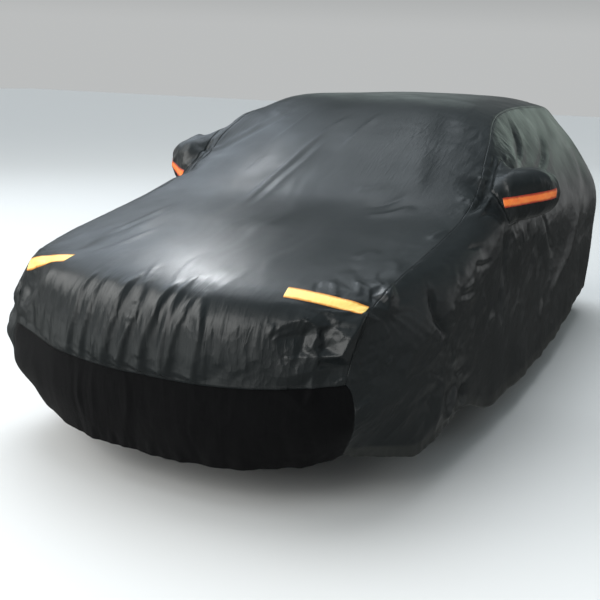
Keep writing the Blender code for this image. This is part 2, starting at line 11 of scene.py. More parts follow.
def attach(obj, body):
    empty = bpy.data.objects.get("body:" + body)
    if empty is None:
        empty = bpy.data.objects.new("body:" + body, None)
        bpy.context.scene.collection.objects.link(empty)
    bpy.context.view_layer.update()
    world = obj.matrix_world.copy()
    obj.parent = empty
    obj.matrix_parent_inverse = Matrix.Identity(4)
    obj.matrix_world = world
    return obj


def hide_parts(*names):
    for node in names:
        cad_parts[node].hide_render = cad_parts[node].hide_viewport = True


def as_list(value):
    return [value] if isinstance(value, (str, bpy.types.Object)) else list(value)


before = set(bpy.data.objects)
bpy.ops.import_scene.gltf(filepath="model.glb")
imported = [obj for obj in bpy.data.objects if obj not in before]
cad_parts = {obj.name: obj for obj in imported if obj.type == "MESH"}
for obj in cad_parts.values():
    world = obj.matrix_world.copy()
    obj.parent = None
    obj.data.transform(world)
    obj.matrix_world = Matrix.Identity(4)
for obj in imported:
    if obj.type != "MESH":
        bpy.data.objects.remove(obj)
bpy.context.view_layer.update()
print("frame loaded,", len(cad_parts), "nodes")

# Places are in car coordinates: the nose at y = 0, the tail at +y, the ground at z = 0,
# the car's left at +x. Finished pieces are moved so that the origin is under the roof.
roofPoint = np.array((0.0, 2.85, 1.438))

camera = {
    "place": (1.864, -2.563, 1.528),
    "yaw": 26.30,  # degrees, turned towards the car's right
    "pitch": 13.84,  # degrees, looking down
    "roll": 2.02,
    "lens": 55.26,
    "sensor": 36.0,
}


def addCamera(settings):
    yaw, pitch, roll = (math.radians(settings[name]) for name in ("yaw", "pitch", "roll"))
    ahead = Vector((
        -math.sin(yaw) * math.cos(pitch), math.cos(yaw) * math.cos(pitch), -math.sin(pitch),
    ))
    level = Vector((math.cos(yaw), math.sin(yaw), 0))
    upward = level.cross(ahead)
    right = level * math.cos(roll) + upward * math.sin(roll)
    up = upward * math.cos(roll) - level * math.sin(roll)
    item = bpy.data.objects.new("camera", bpy.data.cameras.new("camera"))
    item.data.lens = settings["lens"]
    item.data.sensor_width = settings["sensor"]
    turned = Matrix((right, up, -ahead)).transposed().to_4x4()
    turned.translation = Vector(settings["place"]) - Vector(roofPoint)
    item.matrix_world = turned
    bpy.context.scene.collection.objects.link(item)
    bpy.context.scene.camera = item


addCamera(camera)

# the form of the cover, before any fold

coverForm = {
    "halfWidth": 0.898,
    "frontCornerY": 0.80,  # where the plan outline starts to round towards the nose
    "noseY": -0.030,
    "rearCornerY": 3.65,
    "tailY": 4.30,
    "cornerPower": 2.7,  # 2 is an ellipse, more is squarer
    "inner": 0.85,  # share of a section's width that sets the slope at its edge
    "shoulderOut": 0.90,  # how far out the shoulder lies, from the seam to the widest level
}

# cross-sections of the car from the nose to the tail; the last column is the number of
# mesh rows up to the next one
sectionColumns = (
    "crownY", "crownZ", "edgeX", "edgeY", "edgeZ", "square",
    "lowerY", "shoulderZ", "widestZ", "hemZ", "hemOut", "rows",
)
sections = np.array([
    (-0.030, 0.475, 0.700, 0.160, 0.510, 2.6, 0.190, 0.440, 0.340, 0.210, -0.085, 20),  # nose seam
    (-0.032, 0.610, 0.720, 0.180, 0.620, 2.6, 0.270, 0.530, 0.400, 0.205, -0.070, 20),  # bumper
    (0.008, 0.735, 0.735, 0.225, 0.725, 2.6, 0.360, 0.610, 0.440, 0.190, -0.040, 17),  # bonnet lip
    (0.105, 0.797, 0.750, 0.310, 0.785, 2.6, 0.470, 0.670, 0.470, 0.175, -0.010, 24),  # bonnet front
    (0.340, 0.850, 0.760, 0.480, 0.832, 2.8, 0.640, 0.730, 0.490, 0.210, 0.005, 24),  # bonnet
    (0.700, 0.912, 0.770, 0.800, 0.890, 2.8, 0.900, 0.800, 0.520, 0.240, 0.012, 20),  # bonnet rear
    (1.050, 0.975, 0.770, 1.140, 0.955, 2.8, 1.180, 0.860, 0.540, 0.150, 0.035, 16),  # cowl
    (1.290, 1.070, 0.755, 1.420, 1.050, 2.8, 1.440, 0.900, 0.560, 0.140, 0.045, 27),  # screen foot
    (1.660, 1.255, 0.685, 1.760, 1.215, 2.8, 1.770, 0.920, 0.580, 0.132, 0.055, 22),  # screen
    (2.030, 1.385, 0.618, 2.090, 1.335, 2.8, 2.100, 0.940, 0.590, 0.130, 0.050, 18),  # header
    (2.400, 1.428, 0.588, 2.420, 1.374, 2.8, 2.420, 0.945, 0.590, 0.130, 0.045, 16),  # roof front
    (2.850, 1.440, 0.575, 2.850, 1.385, 2.8, 2.850, 0.945, 0.590, 0.145, 0.030, 18),  # roof crown
    (3.420, 1.430, 0.560, 3.400, 1.372, 2.8, 3.400, 0.935, 0.580, 0.190, 0.005, 12),  # roof rear
    (3.800, 1.398, 0.548, 3.730, 1.335, 2.8, 3.760, 0.920, 0.560, 0.200, -0.010, 11),  # tail roof
    (4.060, 1.195, 0.615, 3.960, 1.135, 2.6, 3.950, 0.880, 0.540, 0.185, -0.030, 9),  # tailgate
    (4.190, 0.945, 0.690, 4.050, 0.915, 2.4, 4.040, 0.780, 0.500, 0.180, -0.045, 8),  # tail shoulder
    (4.280, 0.720, 0.715, 4.110, 0.715, 2.4, 4.100, 0.620, 0.450, 0.170, -0.055, 6),  # rear bumper
    (4.298, 0.500, 0.725, 4.150, 0.530, 2.4, 4.140, 0.470, 0.380, 0.165, -0.060, 0),  # tail seam
])
lastSection = len(sections) - 1
paddedSections = np.vstack((
    2 * sections[0] - sections[1],
    sections,
    2 * sections[-1] - sections[-2],
))

# mesh steps across the panels, finer where they are pleated, and down from level to level:
# seam, shoulder, widest, hem
columnBands = [(-1.0, -0.50, 22), (-0.50, 0.60, 94), (0.60, 1.0, 48)]
levelBands = [(0.0, 1.0, 40), (1.0, 2.0, 34), (2.0, 3.0, 38)]
lowerColumns = ("shoulderZ", "widestZ", "hemZ", "hemOut")
noseLower = (0.400, 0.300, 0.162, -0.030)
tailLower = (0.430, 0.340, 0.165, -0.060)


def spread(bands):
    found = [bands[0][0]]
    for start, end, steps in bands:
        found.extend(start + (end - start) * step / steps for step in range(1, steps + 1))
    return np.array(found)


columnAt = spread(columnBands)
levelAt = spread(levelBands)
rowAt = spread([(i, i + 1, int(row[-1])) for i, row in enumerate(sections[:-1])])


def between(before, start, end, after, t):
    # Catmull-Rom from start to end
    return 0.5 * (
        2 * start
        + (end - before) * t
        + (2 * before - 5 * start + 4 * end - after) * t ** 2
        + (3 * start - before - 3 * end + after) * t ** 3
    )


def sectionValue(name, at):
    column = paddedSections[:, sectionColumns.index(name)]
    first = np.clip(at.astype(int), 0, lastSection - 1)
    return between(*(column[first + k] for k in range(4)), at - first)


def outlineX(y):
    form = coverForm
    front = (form["frontCornerY"] - y) / (form["frontCornerY"] - form["noseY"])
    rear = (y - form["rearCornerY"]) / (form["tailY"] - form["rearCornerY"])
    share = np.clip(np.maximum(front, rear), 0, 1)
    return form["halfWidth"] * (1 - share ** form["cornerPower"]) ** (1 / form["cornerPower"])


def endOutlineY(x, rear):
    form = coverForm
    power = form["cornerPower"]
    share = np.maximum(1 - (np.abs(x) / form["halfWidth"]) ** power, 0) ** (1 / power)
    if rear:
        return form["rearCornerY"] + (form["tailY"] - form["rearCornerY"]) * share
    return form["frontCornerY"] - (form["frontCornerY"] - form["noseY"]) * share


def outlineNormal(x, y):
    form = coverForm
    power = form["cornerPower"] - 1
    frontDepth = form["frontCornerY"] - form["noseY"]
    rearDepth = form["tailY"] - form["rearCornerY"]
    front = (np.maximum(form["frontCornerY"] - y, 0) / frontDepth) ** power / frontDepth
    rear = (np.maximum(y - form["rearCornerY"], 0) / rearDepth) ** power / rearDepth
    across = (np.abs(x) / form["halfWidth"]) ** power / form["halfWidth"]
    found = np.stack((np.copysign(across, x), rear - front, 0 * x), axis=-1)
    return found / np.linalg.norm(found, axis=-1, keepdims=True)


def centrePoint(across, at):
    share = np.abs(across) ** sectionValue("square", at)
    crownY, crownZ = sectionValue("crownY", at), sectionValue("crownZ", at)
    y = crownY + (sectionValue("edgeY", at) - crownY) * share
    z = crownZ + (sectionValue("edgeZ", at) - crownZ) * share
    return np.stack((sectionValue("edgeX", at) * across, y, z), axis=-1)


def hangingPoint(seam, inner, widestX, widestY, lower, level):
    # a panel that hangs, from the seam (level 0) over shoulder and widest to the hem (3)
    shoulderZ, widestZ, hemZ, hemOut = lower
    out = coverForm["shoulderOut"]
    shoulder = np.stack((
        seam[..., 0] + (widestX - seam[..., 0]) * out,
        seam[..., 1] + (widestY - seam[..., 1]) * out,
        shoulderZ,
    ), axis=-1)
    wide = np.stack((widestX, widestY, widestZ), axis=-1)
    hem = wide + outlineNormal(widestX, widestY) * hemOut[..., None]
    hem[..., 2] = hemZ
    points = np.stack((inner, seam, shoulder, wide, hem, hem + (hem - wide) * 0.5))
    first = np.minimum(level.astype(int), 2)
    near = [np.take_along_axis(points, (first + k)[None, ..., None], axis=0)[0] for k in range(4)]
    return between(*near, (level - first)[..., None])


def sidePoint(side, at, level):
    seam = centrePoint(side + 0 * at, at)
    inner = centrePoint(side * coverForm["inner"] + 0 * at, np.clip(at, 0.5, lastSection - 0.5))
    lowerY = sectionValue("lowerY", at)
    lower = [sectionValue(name, at) for name in lowerColumns]
    return hangingPoint(seam, inner, side * outlineX(lowerY), lowerY, lower, level)


def endPoint(rear, across, level):
    at = (lastSection if rear else 0) + 0 * across
    seam = centrePoint(across, at)
    towards = across * (1 - (1 - coverForm["inner"]) * np.abs(across) ** 6)
    inner = centrePoint(towards, at - 0.5 if rear else at + 0.5)
    row = dict(zip(sectionColumns, sections[-1 if rear else 0]))
    widestX = seam[..., 0] / row["edgeX"] * outlineX(np.array(row["lowerY"]))
    widestY = endOutlineY(widestX, rear)
    share = np.abs(across) ** 3
    middle = tailLower if rear else noseLower
    lower = [m + (row[name] - m) * share for m, name in zip(middle, lowerColumns)]
    return hangingPoint(seam, inner, widestX, widestY, lower, level)


def lengths(points, axis):
    # how far along an axis of a grid each of its points lies, in metres
    steps = np.linalg.norm(np.diff(points, axis=axis), axis=-1)
    pad = [(0, 0), (0, 0)]
    pad[axis] = (1, 0)
    return np.pad(np.cumsum(steps, axis=axis), pad)


def fromEnds(along, axis):
    # distance to the nearer end along an axis
    total = along.max(axis=axis, keepdims=True)
    return np.minimum(along, total - along)


farAway = 9.0  # for a seam or hem that a panel doesn't have


def panelGrids():
    # for each panel: its points, and for each point how far it is from the side seam, the
    # end seam and the hem, how far along those it lies, and its place on the flat cloth:
    # across its folds and along them
    across, at = np.meshgrid(columnAt, rowAt)
    centre = centrePoint(across, at)
    seamAlong = lengths(centre, 0)[:, -1:]
    crossways = lengths(centre, 1)
    toSides, toEnds = fromEnds(crossways, 1), fromEnds(lengths(centre, 0), 0)
    sewn = np.stack((toSides, toEnds, 0 * at + farAway), axis=-1)
    along = np.stack((seamAlong + 0 * at, crossways, 0 * at), axis=-1)
    flow = np.stack((crossways - crossways[:, -1:] / 2, lengths(centre, 0), 0 * at), axis=-1)
    yield centre, sewn, along, flow
    for side in (1, -1):
        at, level = np.meshgrid(rowAt, levelAt)
        points = sidePoint(side, at, level)
        down, back = lengths(points, 0), lengths(points, 1)
        sewn = np.stack((down, fromEnds(back, 1), down.max(0) - down), axis=-1)
        along = np.stack((seamAlong.T + 0 * at, down, back[-1:] + 0 * at), axis=-1)
        yield points, sewn, along, np.stack((back, down, 2 + side + 0 * at), axis=-1)
    for rear in (False, True):
        across, level = np.meshgrid(columnAt, levelAt)
        points = endPoint(rear, across, level)
        down, crossways = lengths(points, 0), lengths(points, 1)
        ends = np.minimum(down, fromEnds(crossways, 1))
        sewn = np.stack((0 * down + farAway, ends, down.max(0) - down), axis=-1)
        along = np.stack((0 * down, crossways[:1] + 0 * down, crossways[-1:] + 0 * down), axis=-1)
        flow = np.stack((crossways - crossways[:, -1:] / 2, down, 5 + rear + 0 * down), axis=-1)
        yield points, sewn, along, flow


pouch = {
    # sections and levels of the side panel between which it opens
    "opening": (7.2, 8.0, 0.25, 1.0),
    "reach": 0.32,  # from the middle of the opening to beyond its edges
    "steps": 4,  # mesh rings from one ring of the table to the next
    "capSteps": 3,
    "capBulge": 0.006,
    # middle of each ring, its half depth and half height, how square it is, and its lean
    "rings": [
        (0.872, 1.638, 1.022, 0.126, 0.112, 2.6, 0.38),
        (0.918, 1.668, 1.030, 0.118, 0.114, 2.8, 0.15),
        (0.970, 1.697, 1.036, 0.104, 0.108, 2.8, 0.00),
        (1.018, 1.722, 1.045, 0.080, 0.085, 2.6, 0.00),
        (1.040, 1.733, 1.048, 0.043, 0.046, 2.2, 0.00),
    ],
}


def pouchPaths(side, mouth, middle):
    # the path from each point of the mouth over all rings to the end of the pouch
    paths = [mouth]
    for x, y, z, halfY, halfZ, square, lean in pouch["rings"]:
        away = paths[-1] - middle
        angle = np.arctan2(away[:, 2], away[:, 1])
        flatY, flatZ = np.cos(angle), np.sin(angle)
        size = (np.abs(flatY) ** square + np.abs(flatZ) ** square) ** (1 / square)
        up = halfZ * flatZ / size
        paths.append(np.stack((side * (x - lean * up), y + halfY * flatY / size, z + up), axis=-1))
        middle = np.array((side * x, y, z))
    tip = middle + np.array((side * pouch["capBulge"], 0, 0))
    knots = [2 * paths[0] - paths[1], *paths]
    knots.append(paths[-1] + (tip - paths[-1]) * 0.8)
    stops = []
    for first in range(len(paths) - 1):
        for step in range(1, pouch["steps"] + 1):
            stops.append(between(*knots[first:first + 4], step / pouch["steps"]))
    for step in range(1, pouch["capSteps"] + 1):
        share = step / (pouch["capSteps"] + 1)
        ring = paths[-1] + (tip - paths[-1]) * share
        ring[:, 0] = paths[-1][:, 0] + (tip[0] - paths[-1][:, 0]) * math.sin(share * math.pi / 2)
        stops.append(ring)
    return stops


# what each point carries: its place on its panel, how far it is from seams and hem, how far
# along those it lies, and its place on the flat cloth
pointLayers = ("place", "sewn", "along", "flow")


def addPouch(cover, side, panel):
    faceLayer = cover.faces.layers.int["panel"]
    found = (cover.verts.layers.float_vector[name] for name in pointLayers)
    placeLayer, sewnLayer, alongLayer, flowLayer = found
    flat = cover.loops.layers.uv["flat"]
    firstAt, lastAt, firstLevel, lastLevel = pouch["opening"]
    sidePanel = 1 if side > 0 else 2
    opened = []
    for face in cover.faces:
        if face[faceLayer] != sidePanel:
            continue
        at = sum(vert[placeLayer].x for vert in face.verts) / len(face.verts)
        level = sum(vert[placeLayer].y for vert in face.verts) / len(face.verts)
        if firstAt < at < lastAt and firstLevel < level < lastLevel:
            opened.append(face)
    middle = sum((face.calc_center_median() for face in opened), Vector()) / len(opened)
    bmesh.ops.delete(cover, geom=opened, context="FACES")
    loop = [
        edge for edge in cover.edges
        if edge.is_boundary and (edge.verts[0].co - middle).length < pouch["reach"]
    ]
    order = {}
    for edge in loop:
        for vert in edge.verts:
            order.setdefault(vert, len(order))
    mouthVerts = list(order)
    mouth = np.array([vert.co for vert in order])
    corners = sidePoint(
        side, np.array((firstAt, firstAt, lastAt, lastAt)),
        np.array((firstLevel, lastLevel, firstLevel, lastLevel)),
    )
    walked = np.zeros(len(mouth))
    last = mouth
    for stop in pouchPaths(side, mouth, corners.mean(0)):
        walked = walked + np.linalg.norm(stop - last, axis=1)
        last = stop
        made = bmesh.ops.extrude_edge_only(cover, edges=loop)["geom"]
        newOrder = {}
        for vert in (item for item in made if isinstance(item, bmesh.types.BMVert)):
            ends = (edge.other_vert(vert) for edge in vert.link_edges)
            source = next(end for end in ends if end in order)
            index = order[source]
            newOrder[vert] = index
            vert.co = stop[index]
            vert[sewnLayer] = (walked[index], farAway, farAway)
            vert[alongLayer] = (source[alongLayer].x, 0, 0)
            vert[flowLayer] = (vert.co.y + side * vert.co.x, vert.co.z, 7 + side)
        for face in (item for item in made if isinstance(item, bmesh.types.BMFace)):
            face[faceLayer] = panel
        loop = [item for item in made if isinstance(item, bmesh.types.BMEdge)]
        order = newOrder
    end = bmesh.ops.contextual_create(cover, geom=loop)["faces"][0]
    end[faceLayer] = panel
    for face in bmesh.ops.poke(cover, faces=[end])["faces"]:
        face[faceLayer] = panel
    for face in cover.faces:
        if face[faceLayer] == panel:
            for corner in face.loops:
                place = corner.vert.co
                corner[flat].uv = (place.y + side * place.x, place.z)
    return mouthVerts


# the roof's long edges and the mouths of the pouches are rounded: how far from the seam,
# from which y, and how often
softening = {"reach": 0.13, "from": 1.15, "turns": 26, "mouthRings": 4, "mouthTurns": 14}


def smoothPoints(cover, verts, turns):
    for turn in range(turns):
        bmesh.ops.smooth_vert(
            cover, verts=verts, factor=0.5, use_axis_x=True, use_axis_y=True, use_axis_z=True,
        )


def makeForm():
    cover = bmesh.new()
    faceLayer = cover.faces.layers.int.new("panel")
    for name in pointLayers:
        cover.verts.layers.float_vector.new(name)
    found = (cover.verts.layers.float_vector[name] for name in pointLayers)
    placeLayer, sewnLayer, alongLayer, flowLayer = found
    flat = cover.loops.layers.uv.new("flat")  # the same place on the flat cloth, for the materials
    for panel, (points, sewn, along, flow) in enumerate(panelGrids()):
        rows, columns = points.shape[0] - 1, points.shape[1] - 1
        made = bmesh.ops.create_grid(cover, x_segments=columns, y_segments=rows, size=1.0)
        columnPlace = columnAt if panel in (0, 3, 4) else rowAt
        rowPlace = rowAt if panel == 0 else levelAt
        for vert in made["verts"]:
            column = round((vert.co.x + 1) / 2 * columns)
            row = round((vert.co.y + 1) / 2 * rows)
            vert.co = points[row, column]
            vert[placeLayer] = (columnPlace[column], rowPlace[row], panel)
            vert[sewnLayer] = sewn[row, column]
            vert[alongLayer] = along[row, column]
            vert[flowLayer] = flow[row, column]
        for face in {face for vert in made["verts"] for face in vert.link_faces}:
            face[faceLayer] = panel
            for corner in face.loops:
                corner[flat].uv = corner.vert[flowLayer].xy
    bmesh.ops.remove_doubles(cover, verts=cover.verts, dist=0.0001)
    edge = [
        vert for vert in cover.verts
        if vert[sewnLayer].x < softening["reach"] and vert.co.y > softening["from"]
    ]
    smoothPoints(cover, edge, softening["turns"])
    for side, panel in ((1, 5), (-1, 6)):
        mouth = set(addPouch(cover, side, panel))
        for ring in range(softening["mouthRings"]):
            mouth |= {edge.other_vert(vert) for vert in mouth for edge in vert.link_edges}
        smoothPoints(cover, list(mouth), softening["mouthTurns"])
    bmesh.ops.recalc_face_normals(cover, faces=cover.faces)
    data = bpy.data.meshes.new("form")
    cover.to_mesh(data)
    cover.free()
    return data


form = makeForm()
print("form made,", len(form.vertices), "points")

# helpers that read and move all the points of a mesh


def pointsOf(data):
    found = np.zeros(len(data.vertices) * 3)
    data.vertices.foreach_get("co", found)
    return found.reshape(-1, 3)


def movePoints(data, points):
    data.vertices.foreach_set("co", points.ravel())
    data.update()


def normalsOf(data):
    found = np.zeros(len(data.vertices) * 3)
    data.vertex_normals.foreach_get("vector", found)
    return found.reshape(-1, 3)


def vectorLayer(data, name):
    found = np.zeros(len(data.vertices) * 3)
    data.attributes[name].data.foreach_get("vector", found)
    return found.reshape(-1, 3)


def ease(value, start, end):
    share = np.clip((value - start) / (end - start), 0, 1)
    return share * share * (3 - 2 * share)


# where the chance numbers of each kind of wrinkle start
seeds = {
    "broad": 20, "small": 21, "gather": 22, "pucker": 23, "layer": 100, "patches": 200, "bend": 400,
    "fan": 500, "fanBend": 600, "crumple": 700,
}


def makeNoise(seed):
    # smooth noise of about -1 to 1, one wave to each unit
    random = np.random.default_rng(seed)
    order = random.permutation(256)
    slopes = random.normal(size=(256, 3))
    slopes /= np.linalg.norm(slopes, axis=1, keepdims=True)

    def noise(points):
        cell = np.floor(points).astype(int)
        part = points - cell
        eased = part ** 3 * (part * (part * 6 - 15) + 10)
        total = np.zeros(len(points))
        for corner in itertools.product((0, 1), repeat=3):
            place = cell + corner
            index = order[place[:, 0] & 255]
            index = order[(index + place[:, 1]) & 255]
            index = order[(index + place[:, 2]) & 255]
            weight = np.prod(np.where(corner, eased, 1 - eased), axis=1)
            total += weight * (slopes[index] * (part - corner)).sum(axis=1)
        return total * 1.7

    return noise


def smoothLine(line, pieces=4):
    line = np.array(line, float)
    if len(line) < 3:
        return np.linspace(line[0], line[-1], 5)
    knots = np.vstack((2 * line[0] - line[1], line, 2 * line[-1] - line[-2]))
    found = [line[0]]
    for first in range(len(line) - 1):
        near = knots[first:first + 4]
        found.extend(between(*near, step / pieces) for step in range(1, pieces + 1))
    return np.array(found)


throughCloth = 0.08  # a crease reaches no point further than this before or behind its line


def creaseHeight(points, normals, line, width, height, lean=0.0, crisp=2.0, fade=(0.3, 0.3)):
    # which points a crease reaches and how far it moves each along its normal; width may
    # be (start, end), lean steepens one side, crisp below 2 sharpens the crest
    line = smoothLine(line)
    startWidth, endWidth = width if isinstance(width, tuple) else (width, width)
    reach = 3.0 * max(startWidth, endWidth) * (1 + abs(lean))
    inside = (points > line.min(0) - reach) & (points < line.max(0) + reach)
    near = np.flatnonzero(inside.all(axis=1))
    place, normal = points[near], normals[near]
    best = np.full(len(near), 1e3)
    along = np.zeros(len(near))
    side = np.ones(len(near))
    walked = np.concatenate(([0], np.cumsum(np.linalg.norm(np.diff(line, axis=0), axis=1))))
    for number, (start, end) in enumerate(zip(line, line[1:])):
        way = end - start
        share = np.clip((place - start) @ way / (way @ way), 0, 1)
        away = place - start - share[:, None] * way
        out = (away * normal).sum(axis=1)
        far = np.linalg.norm(away - out[:, None] * normal, axis=1)
        closer = (far < best) & (np.abs(out) < throughCloth)
        best[closer] = far[closer]
        along[closer] = (walked[number] + share * (walked[number + 1] - walked[number]))[closer]
        turn = (np.cross(way, away) * normal).sum(axis=1)
        side[closer] = np.sign(turn)[closer]
    along /= walked[-1]
    wide = startWidth + (endWidth - startWidth) * along
    wide = wide * np.where(side > 0, 1 - lean, 1 + lean)
    crest = np.exp(-((best / wide) ** 2 + 0.0025) ** (crisp / 2))
    ends = ease(along, 0, fade[0]) * ease(1 - along, 0, fade[1])
    return near, height * crest * ends


# pulls and folds, placed one by one

# where the cloth stands off the car or is drawn in: the middle, its reach and the way
pulls = [
    ((-0.86, 0.28, 0.50), 0.20, (-0.115, -0.020, 0.000)),
    ((-0.78, 0.22, 0.24), 0.17, (-0.115, 0.000, 0.000)),
    ((-0.60, 2.22, 1.37), 0.30, (-0.016, 0.000, 0.036)),
    ((-0.68, 1.84, 1.22), 0.12, (-0.010, 0.000, 0.022)),
    ((-0.77, 1.70, 1.15), 0.12, (-0.010, 0.000, 0.060)),
    ((-0.78, 1.96, 1.18), 0.17, (-0.050, 0.000, 0.060)),
    ((-0.90, 1.76, 1.14), 0.09, (0.000, 0.000, 0.030)),
    ((0.78, 1.90, 1.14), 0.16, (0.016, 0.000, 0.014)),
    ((1.06, 1.72, 1.15), 0.09, (-0.012, 0.000, -0.026)),
    ((-1.06, 1.72, 1.15), 0.09, (0.012, 0.000, -0.026)),
]

# long folds: the line, half width, height
longFolds = [
    # bonnet and screen
    (((-0.504, 0.96, 0.944), (-0.45, 0.65, 0.905), (-0.397, 0.33, 0.84)), 0.050, 0.007),
    (((-0.595, 0.54, 0.864), (-0.56, 0.39, 0.84), (-0.53, 0.24, 0.81)), 0.045, -0.008),
    (((-0.23, 0.74, 0.916), (-0.18, 1.10, 0.99), (-0.10, 1.48, 1.17)), 0.050, 0.004),
    (((0.52, 1.17, 1.00), (0.46, 1.45, 1.13), (0.40, 1.72, 1.26)), 0.060, 0.010),
    (((0.50, 1.62, 1.21), (0.45, 1.85, 1.31), (0.40, 2.06, 1.37)), 0.060, -0.007),
    # front corner, left
    (((0.68, 0.42, 0.83), (0.74, 0.36, 0.80), (0.78, 0.30, 0.74)), 0.040, 0.014),
    # front corner, right
    (((-0.56, 0.15, 0.77), (-0.66, 0.16, 0.70), (-0.76, 0.17, 0.60)), 0.045, -0.026),
    (((-0.74, 0.15, 0.53), (-0.86, 0.24, 0.52), (-0.96, 0.36, 0.54)), 0.045, -0.030),
    (((-0.70, 0.14, 0.40), (-0.84, 0.22, 0.37), (-0.93, 0.34, 0.38)), 0.045, -0.022),
    # left side
    (((0.80, 0.56, 0.83), (0.87, 0.57, 0.72), (0.89, 0.64, 0.58)), 0.050, -0.016),
    (((0.88, 0.66, 0.46), (0.89, 0.60, 0.34), (0.88, 0.56, 0.20)), 0.050, 0.018),
    (((0.90, 0.84, 0.42), (0.90, 0.84, 0.33), (0.91, 0.90, 0.24)), 0.050, -0.020),
    (((0.66, 1.52, 1.12), (0.76, 1.44, 1.04), (0.86, 1.40, 0.95)), 0.045, -0.018),
    (((0.74, 1.18, 0.97), (0.81, 1.28, 0.94), (0.86, 1.42, 0.90)), 0.045, 0.016),
    (((0.66, 2.20, 1.28), (0.78, 1.98, 1.18), (0.90, 1.78, 1.12)), 0.060, 0.010),
    (((0.68, 2.52, 1.24), (0.78, 2.22, 1.12), (0.87, 1.90, 1.04)), 0.055, -0.006),
    (((0.87, 1.50, 0.92), (0.89, 1.48, 0.78), (0.90, 1.47, 0.60)), 0.050, -0.024),
    (((0.88, 2.10, 0.90), (0.89, 2.24, 0.74), (0.91, 2.40, 0.52)), 0.070, 0.012),
    (((0.87, 3.18, 0.84), (0.90, 2.98, 0.62), (0.92, 2.76, 0.38)), 0.090, 0.014),
    (((0.70, 3.60, 1.12), (0.84, 3.44, 0.90), (0.90, 3.24, 0.66)), 0.080, -0.014),
    # right side
    (((-0.66, 2.26, 1.26), (-0.80, 2.02, 1.18), (-0.92, 1.80, 1.12)), 0.060, 0.020),
    (((-0.68, 1.44, 1.08), (-0.77, 1.38, 1.00), (-0.86, 1.36, 0.91)), 0.050, -0.018),
    (((-0.87, 1.62, 0.90), (-0.89, 1.66, 0.74), (-0.91, 1.74, 0.54)), 0.055, -0.022),
    (((-0.79, 0.70, 0.86), (-0.87, 0.78, 0.72), (-0.90, 0.92, 0.54)), 0.060, 0.014),
    (((-0.89, 1.08, 0.52), (-0.91, 1.02, 0.38), (-0.91, 0.90, 0.26)), 0.060, -0.018),
    (((-0.87, 2.30, 0.88), (-0.90, 2.52, 0.68), (-0.92, 2.72, 0.44)), 0.080, 0.014),
    (((-0.88, 2.96, 0.80), (-0.90, 3.16, 0.62), (-0.91, 3.40, 0.42)), 0.080, -0.014),
    (((-0.66, 3.44, 1.18), (-0.82, 3.56, 0.96), (-0.89, 3.74, 0.70)), 0.080, 0.013),
    # tail
    (((-0.50, 4.08, 1.16), (-0.55, 4.17, 0.98), (-0.66, 4.20, 0.74)), 0.060, -0.018),
    (((-0.20, 4.14, 1.08), (-0.24, 4.23, 0.86), (-0.33, 4.27, 0.58)), 0.045, 0.012),
    (((0.06, 4.12, 1.10), (0.04, 4.24, 0.84), (0.08, 4.29, 0.56)), 0.040, -0.014),
    (((0.30, 4.10, 1.12), (0.34, 4.21, 0.88), (0.30, 4.26, 0.60)), 0.070, 0.012),
    (((0.52, 4.04, 1.16), (0.60, 4.13, 0.94), (0.68, 4.14, 0.70)), 0.070, -0.018),
    (((0.70, 4.16, 0.60), (0.80, 4.06, 0.54), (0.87, 3.90, 0.56)), 0.060, -0.018),
    (((-0.72, 4.14, 0.66), (-0.81, 4.05, 0.58), (-0.88, 3.88, 0.54)), 0.060, -0.020),
]

